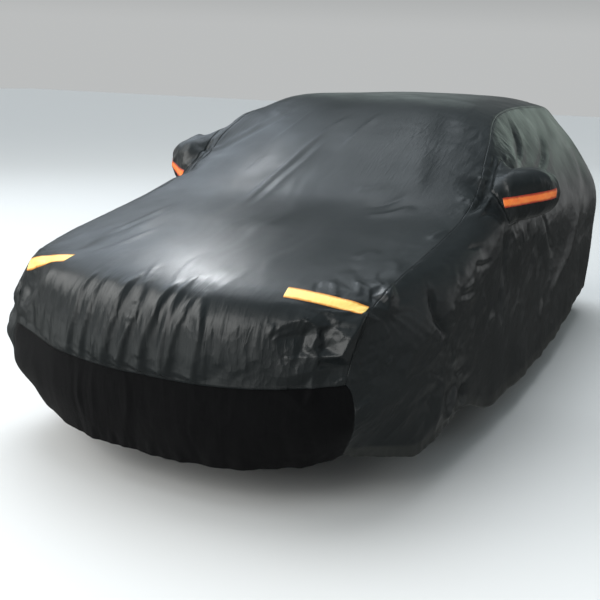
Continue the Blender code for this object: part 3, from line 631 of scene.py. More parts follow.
# pleats of the nose, from the bonnet's front edge down to the seam: the ridge's line, half
# width at its start and end, height, lean towards the car's left; each falls away steeply there
pleats = [
    (((-0.275, 0.13, 0.79), (-0.305, 0.035, 0.725), (-0.312, 0.004, 0.65), (-0.362, 0.006, 0.482)),
      (0.012, 0.030), 0.011, 0.55),
    (((-0.225, 0.12, 0.79), (-0.238, 0.018, 0.735), (-0.246, -0.005, 0.655),
      (-0.292, -0.012, 0.482)), (0.010, 0.026), 0.010, 0.60),
    (((-0.168, 0.04, 0.755), (-0.182, -0.010, 0.68), (-0.228, -0.016, 0.482)),
      (0.010, 0.016), 0.005, 0.50),
    (((-0.135, 0.07, 0.775), (-0.148, -0.005, 0.70), (-0.178, -0.025, 0.482)),
      (0.010, 0.016), 0.005, 0.40),
    (((-0.098, 0.15, 0.80), (-0.112, 0.025, 0.745), (-0.118, -0.004, 0.686),
      (-0.136, -0.021, 0.604), (-0.170, -0.021, 0.482)), (0.010, 0.040), 0.014, 0.60),
    (((-0.105, 0.23, 0.825), (-0.074, 0.109, 0.796), (-0.054, 0.044, 0.769),
      (-0.042, 0.005, 0.715)), (0.007, 0.010), 0.004, 0.0),
    (((-0.060, 0.18, 0.812), (-0.040, 0.065, 0.777), (-0.030, 0.018, 0.74), (-0.036, -0.010, 0.66)),
      (0.007, 0.012), 0.005, 0.3),
    (((-0.012, 0.02, 0.745), (-0.030, -0.004, 0.685), (-0.056, -0.015, 0.62),
      (-0.100, -0.024, 0.482)), (0.010, 0.040), 0.014, 0.60),
    (((0.018, 0.02, 0.745), (0.012, -0.018, 0.65), (0.004, -0.025, 0.54)),
      (0.008, 0.014), 0.005, 0.4),
    (((0.085, 0.14, 0.80), (0.062, 0.035, 0.755), (0.048, 0.000, 0.696), (0.026, -0.015, 0.623),
      (-0.008, -0.026, 0.482)), (0.012, 0.050), 0.016, 0.60),
    (((0.108, 0.20, 0.815), (0.112, 0.06, 0.775), (0.104, -0.004, 0.69), (0.092, -0.024, 0.592),
      (0.082, -0.026, 0.482)), (0.009, 0.026), 0.010, 0.55),
    (((0.178, 0.07, 0.77), (0.152, 0.004, 0.695), (0.134, -0.017, 0.634), (0.104, -0.024, 0.482)),
      (0.010, 0.040), 0.013, 0.60),
    (((0.196, 0.10, 0.785), (0.222, 0.015, 0.72), (0.228, -0.010, 0.635), (0.206, -0.019, 0.482)),
      (0.012, 0.034), 0.013, 0.55),
    (((0.262, 0.05, 0.75), (0.262, -0.008, 0.65), (0.244, -0.016, 0.50)),
      (0.010, 0.016), 0.005, 0.3),
    (((0.292, 0.05, 0.755), (0.302, 0.00, 0.66), (0.306, -0.01, 0.55)), (0.008, 0.012), 0.003, 0.2),
    (((0.345, 0.05, 0.75), (0.356, 0.01, 0.65), (0.366, 0.00, 0.53)), (0.008, 0.012), 0.003, 0.2),
    (((0.380, 0.06, 0.75), (0.388, 0.02, 0.65), (0.394, 0.01, 0.54)), (0.008, 0.012), 0.003, 0.2),
    (((0.420, 0.06, 0.745), (0.428, 0.03, 0.66), (0.434, 0.02, 0.58)), (0.008, 0.012), 0.003, 0.2),
    (((-0.380, 0.11, 0.775), (-0.400, 0.03, 0.70), (-0.450, 0.02, 0.482)),
      (0.014, 0.030), 0.006, 0.50),
    (((-0.340, 0.10, 0.775), (-0.352, 0.02, 0.70), (-0.400, 0.01, 0.482)),
      (0.010, 0.022), 0.005, 0.50),
    (((-0.440, 0.13, 0.775), (-0.470, 0.05, 0.68), (-0.520, 0.05, 0.50)),
      (0.014, 0.026), 0.005, 0.50),
    (((-0.520, 0.16, 0.770), (-0.548, 0.09, 0.69), (-0.580, 0.08, 0.52)),
      (0.014, 0.026), 0.005, 0.50),
]

# creases with crisp crests: the line, half width, height, lean
creases = [
    # long tension folds of the bonnet and the screen
    (((-0.557, 0.391, 0.834), (-0.502, 0.609, 0.886), (-0.481, 0.918, 0.941)), 0.016, 0.0040, 0.3),
    (((-0.530, 0.380, 0.836), (-0.474, 0.600, 0.886), (-0.452, 0.900, 0.941)), 0.012, -0.0030, 0.0),
    (((-0.451, 0.158, 0.793), (-0.382, 0.348, 0.847), (-0.342, 0.600, 0.891)), 0.018, 0.0030, 0.3),
    (((-0.189, 0.922, 0.954), (-0.201, 1.176, 1.023), (-0.169, 1.390, 1.122),
      (-0.119, 1.664, 1.256)), 0.018, 0.0038, 0.4),
    (((-0.155, 0.902, 0.950), (-0.168, 1.160, 1.019), (-0.136, 1.374, 1.117),
      (-0.086, 1.642, 1.246)), 0.015, -0.0032, 0.0),
    (((-0.122, 0.881, 0.943), (-0.134, 1.143, 1.013), (-0.103, 1.358, 1.109),
      (-0.052, 1.620, 1.237)), 0.014, 0.0028, 0.3),
    (((-0.720, 1.540, 1.110), (-0.634, 1.605, 1.167), (-0.508, 1.803, 1.281),
      (-0.440, 2.020, 1.365)), 0.016, 0.0040, 0.3),
    (((-0.690, 1.500, 1.100), (-0.600, 1.570, 1.165), (-0.470, 1.770, 1.280),
      (-0.400, 2.000, 1.365)), 0.014, -0.0035, 0.0),
    (((-0.371, 1.476, 1.151), (-0.325, 1.681, 1.254), (-0.293, 1.937, 1.351)), 0.014, 0.0025, 0.3),
    (((-0.135, 1.510, 1.184), (-0.103, 1.687, 1.266), (-0.050, 1.834, 1.324)), 0.020, 0.0040, 0.3),
    (((0.041, 1.499, 1.177), (0.062, 1.708, 1.274), (0.095, 1.906, 1.350)), 0.018, 0.0030, 0.3),
    (((0.380, 1.000, 0.960), (0.469, 1.047, 0.964), (0.560, 1.180, 0.995)), 0.022, 0.0060, 0.4),
    (((0.340, 1.080, 0.985), (0.414, 1.120, 0.990), (0.500, 1.260, 1.035)), 0.018, -0.0045, 0.0),
    (((0.239, 1.209, 1.030), (0.302, 1.240, 1.042), (0.396, 1.300, 1.060)), 0.020, 0.0035, 0.3),
    # small creases of the left corner
    (((0.527, 0.108, 0.694), (0.486, 0.065, 0.671), (0.468, 0.046, 0.646)), 0.005, 0.006, 0.0),
    (((0.472, 0.078, 0.714), (0.465, 0.060, 0.685), (0.459, 0.046, 0.655)), 0.005, 0.005, 0.0),
    (((0.511, 0.055, 0.603), (0.535, 0.068, 0.600), (0.560, 0.084, 0.598)), 0.007, 0.005, 0.0),
    (((0.792, 0.282, 0.563), (0.800, 0.296, 0.575), (0.808, 0.311, 0.586)), 0.008, 0.006, 0.0),
    (((0.731, 0.190, 0.407), (0.750, 0.212, 0.430), (0.771, 0.239, 0.450)), 0.010, 0.007, 0.0),
    (((0.668, 0.130, 0.507), (0.688, 0.146, 0.522), (0.707, 0.164, 0.537)), 0.010, 0.006, 0.0),
    # small creases of the bonnet's corner
    (((0.566, 0.515, 0.863), (0.576, 0.592, 0.875), (0.614, 0.651, 0.882)), 0.026, 0.005, 0.0),
    (((0.579, 0.474, 0.854), (0.635, 0.402, 0.835), (0.678, 0.412, 0.833)), 0.026, -0.003, 0.0),
    (((0.656, 0.609, 0.870), (0.715, 0.554, 0.852), (0.731, 0.468, 0.835)), 0.026, 0.004, 0.0),
    (((0.560, 0.330, 0.830), (0.600, 0.260, 0.826), (0.640, 0.200, 0.815)), 0.012, 0.005, 0.0),
    (((0.520, 0.300, 0.828), (0.540, 0.240, 0.818), (0.550, 0.200, 0.806)), 0.010, -0.004, 0.0),
    (((0.640, 0.370, 0.832), (0.670, 0.310, 0.815), (0.690, 0.270, 0.800)), 0.012, 0.006, 0.0),
    # left fender and wheel
    (((0.805, 0.591, 0.817), (0.850, 0.577, 0.756), (0.873, 0.574, 0.685), (0.888, 0.645, 0.601),
      (0.892, 0.622, 0.536)), 0.014, -0.016, 0.3),
    (((0.896, 0.867, 0.360), (0.901, 0.747, 0.290), (0.901, 0.649, 0.240)), 0.018, 0.014, 0.3),
    (((0.898, 0.910, 0.350), (0.903, 0.869, 0.254)), 0.014, -0.014, 0.0),
    (((0.893, 0.818, 0.733), (0.895, 0.900, 0.745), (0.895, 0.972, 0.747)), 0.014, 0.007, 0.2),
    (((0.892, 0.764, 0.719), (0.895, 0.840, 0.712), (0.897, 0.911, 0.715)), 0.014, -0.007, 0.0),
    (((0.892, 0.769, 0.712), (0.894, 0.884, 0.690), (0.897, 1.011, 0.690)), 0.016, 0.008, 0.0),
    (((0.888, 0.686, 0.707), (0.893, 0.700, 0.660), (0.897, 0.720, 0.614)), 0.014, 0.008, 0.0),
    (((0.896, 1.097, 0.677), (0.897, 1.130, 0.630), (0.897, 1.171, 0.579)), 0.016, 0.007, 0.0),
    (((0.900, 1.204, 0.523), (0.900, 1.270, 0.528), (0.901, 1.331, 0.523)), 0.016, 0.008, 0.0),
    # left side under the bonnet's seam
    (((0.720, 0.860, 0.910), (0.739, 0.954, 0.921), (0.761, 1.031, 0.932)), 0.022, 0.008, 0.0),
    (((0.851, 0.971, 0.873), (0.867, 1.051, 0.872), (0.878, 1.129, 0.865)), 0.010, -0.009, 0.4),
    (((0.886, 0.977, 0.814), (0.891, 1.079, 0.794), (0.895, 1.217, 0.789)), 0.010, -0.009, 0.4),
    # rumple in front of the left pouch
    (((0.779, 1.573, 1.089), (0.756, 1.502, 1.065), (0.779, 1.458, 1.028), (0.787, 1.312, 0.995),
      (0.770, 1.211, 0.978), (0.730, 1.204, 0.981)), 0.014, -0.014, 0.3),
    (((0.716, 1.530, 1.102), (0.745, 1.512, 1.077), (0.760, 1.480, 1.050)), 0.014, 0.012, 0.0),
    (((0.818, 1.500, 1.035), (0.797, 1.450, 1.009), (0.810, 1.311, 0.984), (0.815, 1.227, 0.960)),
      0.012, 0.012, 0.3),
    (((0.815, 1.227, 0.960), (0.833, 1.285, 0.968), (0.859, 1.378, 0.946)), 0.010, -0.010, 0.0),
    (((0.698, 1.295, 1.017), (0.731, 1.329, 1.023), (0.793, 1.295, 0.991)), 0.014, 0.010, 0.0),
    (((0.732, 1.645, 1.138), (0.725, 1.684, 1.157), (0.719, 1.723, 1.176)), 0.010, 0.007, 0.0),
    (((0.760, 1.658, 1.125), (0.745, 1.715, 1.153), (0.729, 1.772, 1.181)), 0.010, 0.007, 0.0),
    (((0.746, 1.660, 1.130), (0.735, 1.705, 1.155), (0.722, 1.750, 1.180)), 0.008, -0.006, 0.0),
    (((0.765, 1.802, 1.152), (0.758, 1.835, 1.172), (0.752, 1.868, 1.192)), 0.012, 0.006, 0.0),
    # long tension folds from the roof's edge to the left pouch
    (((0.600, 2.36, 1.362), (0.676, 2.306, 1.261), (0.734, 2.20, 1.185), (0.800, 2.02, 1.150),
      (0.870, 1.83, 1.125)), 0.016, -0.013, 0.4),
    (((0.610, 2.44, 1.362), (0.690, 2.38, 1.261), (0.750, 2.27, 1.185), (0.815, 2.08, 1.145)),
      0.016, 0.009, 0.0),
    (((0.640, 2.866, 1.322), (0.698, 2.82, 1.221), (0.772, 2.62, 1.130), (0.840, 2.30, 1.070),
      (0.880, 2.02, 1.030)), 0.018, -0.013, 0.4),
    (((0.645, 2.96, 1.310), (0.712, 2.90, 1.205), (0.785, 2.70, 1.110), (0.850, 2.38, 1.050)),
      0.020, 0.008, 0.0),
    # below the left pouch
    (((0.862, 1.470, 0.950), (0.884, 1.430, 0.860), (0.888, 1.434, 0.726), (0.896, 1.420, 0.551),
      (0.905, 1.43, 0.42)), 0.026, -0.020, 0.2),
    (((0.880, 1.520, 0.900), (0.890, 1.500, 0.780), (0.896, 1.500, 0.620)), 0.014, 0.008, 0.0),
    (((0.881, 1.536, 0.880), (0.888, 1.580, 0.840), (0.895, 1.623, 0.801)), 0.010, 0.006, 0.0),
    (((0.886, 1.696, 0.880), (0.890, 1.745, 0.820), (0.895, 1.794, 0.760)), 0.011, 0.007, 0.0),
    (((0.888, 1.820, 0.880), (0.892, 1.850, 0.820), (0.896, 1.880, 0.780)), 0.011, -0.006, 0.0),
    (((0.890, 1.979, 0.860), (0.892, 1.970, 0.805), (0.895, 1.959, 0.759)), 0.012, 0.007, 0.0),
    (((0.893, 2.10, 0.90), (0.900, 2.212, 0.830), (0.905, 2.300, 0.740), (0.902, 2.560, 0.610)),
      0.018, -0.012, 0.3),
    (((0.894, 3.181, 0.836), (0.907, 2.991, 0.629), (0.913, 2.775, 0.445)), 0.030, 0.009, 0.3),
    (((0.911, 2.878, 0.532), (0.914, 2.62, 0.46), (0.918, 2.387, 0.400)), 0.030, 0.009, 0.0),
    (((0.915, 2.232, 0.423), (0.920, 2.19, 0.36), (0.928, 2.149, 0.312)), 0.022, 0.009, 0.0),
]

# crumples of stiff cloth, flat facets between sharp folds: the way they stand off, the
# corners with their heights, and the folds that run between two corners
facetPlaces = [
    # left corner: the rim and the hollow, the lobe, the flap with its edge, what lies below
    ((0.56, -0.80, 0.20), [
        ((0.458, 0.075, 0.726), 0), ((0.483, 0.111, 0.757), 0), ((0.533, 0.133, 0.760), 0),
        ((0.605, 0.154, 0.745), 0), ((0.679, 0.181, 0.726), 0.010), ((0.734, 0.238, 0.749), 0.016),
        ((0.778, 0.287, 0.713), 0), ((0.798, 0.303, 0.641), 0), ((0.794, 0.286, 0.573), 0),
        ((0.766, 0.238, 0.502), 0), ((0.714, 0.175, 0.461), 0), ((0.663, 0.127, 0.423), 0),
        ((0.616, 0.094, 0.395), 0), ((0.543, 0.062, 0.419), 0), ((0.489, 0.047, 0.456), 0),
        ((0.454, 0.038, 0.499), 0), ((0.448, 0.030, 0.596), 0), ((0.446, 0.044, 0.669), 0),
        ((0.512, 0.103, 0.714), 0.006), ((0.554, 0.121, 0.734), 0.010),
        ((0.597, 0.128, 0.708), 0.012),
        ((0.531, 0.099, 0.669), -0.014), ((0.562, 0.125, 0.675), -0.020),
        ((0.561, 0.102, 0.631), -0.014),
        ((0.550, 0.081, 0.607), -0.004),
        ((0.602, 0.128, 0.681), 0.010), ((0.587, 0.116, 0.639), 0.010),
        ((0.618, 0.110, 0.608), 0.015),
        ((0.623, 0.129, 0.687), -0.010), ((0.639, 0.124, 0.639), -0.012),
        ((0.652, 0.152, 0.711), 0.002), ((0.704, 0.184, 0.704), 0.025),
        ((0.723, 0.199, 0.711), 0.031),
        ((0.707, 0.165, 0.668), 0.038), ((0.686, 0.146, 0.617), 0.042),
        ((0.643, 0.118, 0.610), 0.020),
        ((0.669, 0.137, 0.661), 0.008),
        ((0.746, 0.224, 0.709), -0.002), ((0.739, 0.196, 0.651), -0.005),
        ((0.722, 0.173, 0.598), -0.006),
        ((0.632, 0.112, 0.585), -0.010), ((0.670, 0.135, 0.575), -0.014),
        ((0.712, 0.165, 0.577), -0.006),
        ((0.608, 0.096, 0.557), 0.010), ((0.608, 0.094, 0.486), 0.012),
        ((0.614, 0.097, 0.415), 0.004),
        ((0.581, 0.088, 0.476), -0.004), ((0.634, 0.101, 0.489), -0.004),
        ((0.491, 0.054, 0.494), 0.003), ((0.525, 0.061, 0.534), 0.010),
        ((0.565, 0.078, 0.547), 0.011),
        ((0.595, 0.087, 0.525), 0.002), ((0.542, 0.075, 0.494), -0.006),
        ((0.537, 0.072, 0.466), 0.009), ((0.579, 0.081, 0.431), 0.010),
    ], [
        (18, 19), (19, 20), (20, 25), (21, 22), (22, 23), (25, 26), (26, 27), (28, 29),
        (5, 32), (32, 33), (33, 34), (34, 35), (30, 28), (37, 38), (38, 39), (40, 41), (41, 42),
        (43, 44), (44, 45), (46, 43), (48, 49), (49, 50), (50, 51), (53, 54), (54, 45),
    ]),
    # the ear beside the strip's outer end
    ((0.70, -0.50, 0.50), [
        ((0.690, 0.345, 0.806), 0), ((0.731, 0.425, 0.829), 0), ((0.793, 0.390, 0.772), 0),
        ((0.802, 0.338, 0.712), 0), ((0.778, 0.287, 0.713), 0), ((0.738, 0.262, 0.765), 0.002),
        ((0.723, 0.301, 0.794), -0.014), ((0.781, 0.311, 0.747), 0.016),
        ((0.762, 0.333, 0.793), 0.022),
    ], [(1, 6), (6, 5), (1, 8), (8, 7), (5, 7)]),
]
facetBlur = 0.0025  # how far the folds between facets are rounded
facetMargin = 0.05

# patches of crumpled cloth whose facets fall by chance: the middle, the way they stand off,
# the reach across and up, the size of a facet, height
crumplePlaces = [
    ((0.76, 1.56, 1.10), (0.75, -0.30, 0.60), (0.13, 0.11), 0.036, 0.0090),
    ((0.80, 1.40, 1.00), (0.80, -0.25, 0.55), (0.12, 0.08), 0.040, 0.0070),
    ((0.97, 1.60, 1.09), (0.50, -0.70, 0.50), (0.10, 0.05), 0.034, 0.0060),
    ((-0.97, 1.60, 1.09), (-0.50, -0.70, 0.50), (0.10, 0.05), 0.034, 0.0060),
    ((0.63, 0.46, 0.86), (0.15, -0.30, 0.94), (0.14, 0.11), 0.060, 0.0030),
    ((0.88, 1.10, 0.84), (0.98, 0.00, 0.20), (0.16, 0.07), 0.045, 0.0065),
    ((0.90, 0.95, 0.60), (1.00, 0.00, 0.05), (0.18, 0.14), 0.055, 0.0070),
    ((0.90, 0.76, 0.36), (1.00, 0.00, 0.00), (0.20, 0.15), 0.055, 0.0120),
    ((0.82, 0.32, 0.54), (0.86, -0.50, 0.10), (0.12, 0.16), 0.048, 0.0055),
    ((0.88, 1.55, 0.72), (1.00, 0.00, 0.05), (0.14, 0.16), 0.055, 0.0060),
    ((0.89, 2.05, 0.70), (1.00, 0.00, 0.10), (0.22, 0.18), 0.075, 0.0070),
    ((0.91, 3.36, 0.36), (1.00, 0.00, 0.00), (0.24, 0.16), 0.090, 0.0120),
    ((-0.68, 0.17, 0.62), (-0.50, -0.85, 0.10), (0.15, 0.15), 0.045, 0.0110),
    ((-0.84, 0.34, 0.50), (-0.86, -0.50, 0.10), (0.14, 0.16), 0.050, 0.0080),
    ((-0.76, 1.56, 1.10), (-0.75, -0.30, 0.60), (0.13, 0.11), 0.036, 0.0090),
    ((-0.88, 1.15, 0.82), (-0.98, 0.00, 0.20), (0.20, 0.09), 0.050, 0.0065),
    ((-0.90, 0.80, 0.38), (-1.00, 0.00, 0.00), (0.22, 0.16), 0.060, 0.0120),
    ((-0.90, 1.80, 0.66), (-1.00, 0.00, 0.05), (0.24, 0.18), 0.070, 0.0070),
    ((-0.91, 3.30, 0.38), (-1.00, 0.00, 0.00), (0.24, 0.16), 0.090, 0.0120),
]

foldStyle = {
    "longFade": (0.45, 0.45),  # share of a line over which it fades in and out
    "pleatRise": 1.3,
    "pleatCrisp": 1.3,
    "pleatFade": (0.45, 0.03),
    "creaseCrisp": 1.4,
}
# the hem's slow wave: its height, length and where it starts, with a second, shorter wave
hemWave = {"height": 0.007, "length": 0.42, "top": 0.34, "slant": 1.4, "second": 0.6, "faster": 2.3}


def foldForm(data):
    points = pointsOf(data)
    place = points.copy()
    for middle, reach, way in pulls:
        far = np.linalg.norm(place - middle, axis=1) / reach
        points += np.exp(-far ** 2)[:, None] * np.array(way)
    movePoints(data, points)
    normals = normalsOf(data)
    height = np.zeros(len(points))
    for line, width, high in longFolds:
        near, move = creaseHeight(points, normals, line, width, high, fade=foldStyle["longFade"])
        height[near] += move
    low = np.maximum((hemWave["top"] - points[:, 2]) / hemWave["top"], 0)
    turn = 2 * math.pi * (points[:, 1] + hemWave["slant"] * points[:, 0]) / hemWave["length"]
    second = hemWave["second"] * np.sin(hemWave["faster"] * turn + 1.0)
    height += hemWave["height"] * low * (np.sin(turn) + second)
    crisp, fade = foldStyle["pleatCrisp"], foldStyle["pleatFade"]
    for line, width, high, lean in pleats:
        high = foldStyle["pleatRise"] * high
        near, move = creaseHeight(points, normals, line, width, high, lean, crisp, fade)
        height[near] += move
    movePoints(data, points + normals * height[:, None])


foldForm(form)
print("long folds and pleats made")


def facetHeight(points, normals, out, corners, folds):
    # how far each point stands off: even over each facet, with the folds a little rounded
    out = np.array(out) / np.linalg.norm(out)
    level = np.cross((0, 0, 1), out)
    level /= np.linalg.norm(level)
    axes = np.stack((level, np.cross(out, level)), axis=1)
    places = np.array([place for place, height in corners])
    heights = np.array([height for place, height in corners])
    flatPlaces = [Vector(place @ axes) for place in places]
    found = geometry.delaunay_2d_cdt(flatPlaces, folds, [], 0, 0.0001)
    knots, triangles, origins = np.array(found[0]), found[2], found[3]
    heights = np.array([heights[origin[0]] if origin else 0 for origin in origins])
    inside = (points > places.min(0) - facetMargin) & (points < places.max(0) + facetMargin)
    near = np.flatnonzero(inside.all(axis=1) & (normals @ out > 0.1))
    total = np.zeros(len(near))
    shifts = ((0, 0), (1, 0), (-1, 0), (0, 1), (0, -1))
    for shift in shifts:
        flat = points[near] @ axes + np.array(shift) * facetBlur
        for triangle in triangles:
            a, b, c = knots[list(triangle)]
            turned = np.linalg.inv(np.stack((b - a, c - a), axis=1))
            second, third = turned @ (flat - a).T
            within = (second >= 0) & (third >= 0) & (second + third < 1)
            first = 1 - second - third
            shares = np.stack((first, second, third), axis=-1)[within]
            total[within] += shares @ heights[list(triangle)] / len(shifts)
    return near, total[:, None] * out


def crumpleCorners(number, middle, out, reach, size, height):
    random = np.random.default_rng(seeds["crumple"] + number)
    out = np.array(out) / np.linalg.norm(out)
    level = np.cross((0, 0, 1), out)
    level /= np.linalg.norm(level)
    upward = np.cross(out, level)
    corners = []
    counts = [math.ceil(side / size) for side in reach]
    for column in range(-counts[0], counts[0] + 1):
        for row in range(-counts[1], counts[1] + 1):
            u, v = np.array((column, row)) * size + random.uniform(-0.38, 0.38, 2) * size
            share = max(1 - (u / reach[0]) ** 2 - (v / reach[1]) ** 2, 0)
            corner = np.array(middle) + u * level + v * upward
            corners.append((corner, height * share * random.uniform(-1, 1)))
    return out, corners, []


def addFacets(data):
    points, normals = pointsOf(data), normalsOf(data)
    moved = points.copy()
    for place in facetPlaces:
        near, move = facetHeight(points, normals, *place)
        moved[near] += move
    for number, place in enumerate(crumplePlaces):
        near, move = facetHeight(points, normals, *crumpleCorners(number, *place))
        moved[near] += move
    movePoints(data, moved)


addFacets(form)
print("facets made")


def addCreases(data):
    points, normals = pointsOf(data), normalsOf(data)
    height = np.zeros(len(points))
    for line, width, high, lean in creases:
        near, move = creaseHeight(
            points, normals, line, width, high, lean, foldStyle["creaseCrisp"],
        )
        height[near] += move
    movePoints(data, points + normals * height[:, None])


addCreases(form)

# smaller wrinkles: noise drawn out along the cloth's own folds

# turn of the folds from straight down the panel in degrees, size across and along, height,
# sharpness of the creases (0 round, 1 sharp), places with their reach
wrinkleLayers = {
    "nosePleats": (0, 0.060, 0.60, 0.0030, 0.8, [((-0.02, 0.00, 0.62), (0.50, 0.12, 0.17))]),
    "nosePanelPleats": (0, 0.055, 0.90, 0.0050, 0.7, [((-0.08, 0.02, 0.34), (0.42, 0.16, 0.14))]),
    "noseStreaks": (0, 0.026, 0.30, 0.0022, 0.8, [((0.00, 0.00, 0.62), (0.66, 0.14, 0.17))]),
    "bonnetEdge": (0, 0.040, 0.26, 0.0016, 0.7, [((-0.02, 0.12, 0.80), (0.55, 0.22, 0.08))]),
    "skirtFolds": (0, 0.085, 0.80, 0.0060, 0.3, [((0.0, 0.0, 0.30), (1.1, 0.60, 0.26))]),
    "tailFolds": (0, 0.080, 0.60, 0.0060, 0.5, [((0.0, 4.25, 0.50), (1.0, 0.40, 0.50))]),
    "screenStreaks": (-6, 0.034, 0.45, 0.0014, 0.8, [
        ((0.38, 1.55, 1.17), (0.22, 0.45, 0.25)),
        ((-0.20, 1.35, 1.08), (0.34, 0.60, 0.30)),
    ]),
    "bonnetFolds": (4, 0.110, 0.80, 0.0030, 0.4, [((0.0, 0.85, 0.93), (0.80, 0.70, 0.30))]),
    "sideFolds": (10, 0.240, 0.60, 0.0060, 0.0, [
        ((0.90, 2.2, 0.50), (0.25, 1.9, 0.42)),
        ((-0.90, 2.2, 0.50), (0.25, 1.9, 0.42)),
    ]),
    "sideWrinkles": (66, 0.045, 0.12, 0.0028, 0.8, [
        ((0.90, 1.1, 0.72), (0.30, 0.75, 0.26)),
        ((0.88, 2.4, 0.80), (0.30, 0.70, 0.25)),
        ((-0.90, 1.6, 0.72), (0.30, 1.20, 0.26)),
        ((0.90, 3.4, 0.70), (0.30, 0.60, 0.40)),
        ((-0.90, 3.4, 0.70), (0.30, 0.60, 0.40)),
    ]),
    "crossWrinkles": (-50, 0.036, 0.11, 0.0026, 0.8, [
        ((0.88, 0.9, 0.80), (0.30, 0.40, 0.18)),
        ((0.85, 1.5, 0.98), (0.30, 0.45, 0.16)),
        ((0.90, 1.9, 0.72), (0.25, 0.50, 0.25)),
        ((-0.88, 1.2, 0.90), (0.30, 0.60, 0.20)),
        ((0.80, 0.30, 0.45), (0.20, 0.30, 0.20)),
        ((-0.80, 0.30, 0.45), (0.20, 0.30, 0.20)),
    ]),
    "cabinFolds": (-12, 0.060, 0.50, 0.0045, 0.7, [
        ((0.72, 2.6, 1.20), (0.20, 0.90, 0.22)),
        ((-0.72, 2.6, 1.20), (0.20, 0.90, 0.22)),
    ]),
    "cornerCrumple": (15, 0.050, 0.085, 0.0058, 0.9, [
        ((-0.68, 0.16, 0.62), (0.13, 0.16, 0.16)),
    ]),
    "cornerCreases": (-35, 0.026, 0.050, 0.0030, 0.9, [
        ((0.74, 0.22, 0.50), (0.12, 0.14, 0.14)),
        ((-0.68, 0.16, 0.62), (0.13, 0.18, 0.16)),
        ((0.80, 1.42, 1.03), (0.16, 0.26, 0.14)),
        ((-0.80, 1.42, 1.03), (0.16, 0.26, 0.14)),
    ]),
    "pouchCrumple": (20, 0.034, 0.070, 0.0042, 0.8, [
        ((0.96, 1.68, 1.03), (0.12, 0.20, 0.15)),
        ((-0.96, 1.68, 1.03), (0.12, 0.20, 0.15)),
    ]),
    "wheelCrumple": (-25, 0.055, 0.13, 0.0060, 0.8, [
        ((0.90, 0.74, 0.34), (0.25, 0.30, 0.20)),
        ((-0.90, 0.74, 0.34), (0.25, 0.30, 0.20)),
        ((0.90, 3.36, 0.34), (0.25, 0.30, 0.20)),
        ((-0.90, 3.36, 0.34), (0.25, 0.30, 0.20)),
    ]),
}

# folds that spread from a place where the cloth is held: the place, reach, ridges around
# it, height, sharpness
fans = [
    ((0.86, 1.62, 1.06), 0.26, 16, 0.0060, 0.6),
    ((-0.86, 1.62, 1.06), 0.26, 16, 0.0060, 0.6),
    ((0.76, 0.28, 0.76), 0.26, 20, 0.0045, 0.8),
    ((-0.78, 0.26, 0.74), 0.26, 18, 0.0045, 0.8),
    ((0.90, 0.70, 0.40), 0.36, 16, 0.0050, 0.6),
    ((-0.90, 0.70, 0.40), 0.36, 16, 0.0050, 0.6),
    ((0.64, 1.95, 1.32), 0.30, 20, 0.0030, 0.7),
    ((-0.64, 1.95, 1.32), 0.30, 20, 0.0030, 0.7),
    ((0.62, 3.72, 1.28), 0.40, 18, 0.0055, 0.7),
    ((-0.62, 3.72, 1.28), 0.40, 18, 0.0055, 0.7),
]

# where the cloth is slack and crumples, and where it is drawn into fine streaks
slackPlaces = [
    ((0.62, 0.20, 0.66), (0.18, 0.22, 0.20)),
    ((-0.70, 0.20, 0.62), (0.18, 0.22, 0.20)),
    ((0.82, 1.45, 1.04), (0.22, 0.35, 0.18)),
    ((-0.82, 1.45, 1.04), (0.22, 0.35, 0.18)),
    ((0.90, 0.75, 0.34), (0.25, 0.35, 0.25)),
    ((-0.90, 0.75, 0.34), (0.25, 0.35, 0.25)),
]
streakedPlaces = [
    ((-0.05, 0.02, 0.62), (0.75, 0.18, 0.22)),
    ((0.36, 1.60, 1.20), (0.20, 0.50, 0.30)),
    ((0.68, 2.50, 1.22), (0.20, 1.00, 0.18)),
    ((-0.68, 2.50, 1.22), (0.20, 1.00, 0.18)),
    ((0.0, 4.25, 0.80), (0.70, 0.20, 0.40)),
]

unevenness = {
    "broad": 0.0030,  # slow waves of the whole cloth
    "broadSize": 0.26,
    "small": 0.0006,  # slack cloth all over
    "smallSize": 0.030,
    "gather": 0.0045,  # gathers of the elastic hem
    "gatherSize": 0.030,
    "gatherReach": 0.060,
    "pucker": 0.0010,  # along the seams
    "puckerSize": 0.024,
    "puckerReach": 0.020,
    "slackBeside": 0.62,  # how slack the hanging cloth is, 0 to 1
    "slackPlaces": 0.4,
}


def reachOf(points, places):
    found = np.zeros(len(points))
    for middle, radii in places:
        far = (((points - middle) / radii) ** 2).sum(axis=1)
        found = np.maximum(found, np.exp(-far))
    return found


def creased(value, sharpness):
    # noise of -1 to 1 turned into rounded hills between sharp creases
    return (1 - sharpness) * value + sharpness * (np.sqrt(value ** 2 + 0.004) * 2.2 - 0.75)


def meshSteps(data):
    # the longest edge at each point, as the finest wrinkles need a fine mesh
    ends = np.zeros(len(data.edges) * 2, int)
    data.edges.foreach_get("vertices", ends)
    ends = ends.reshape(-1, 2)
    points = pointsOf(data)
    size = np.linalg.norm(points[ends[:, 0]] - points[ends[:, 1]], axis=1)
    found = np.zeros(len(points))
    np.maximum.at(found, ends[:, 0], size)
    np.maximum.at(found, ends[:, 1], size)
    return found


def fineEnough(wave, steps):
    return ease(wave / steps, 1.6, 3.2)


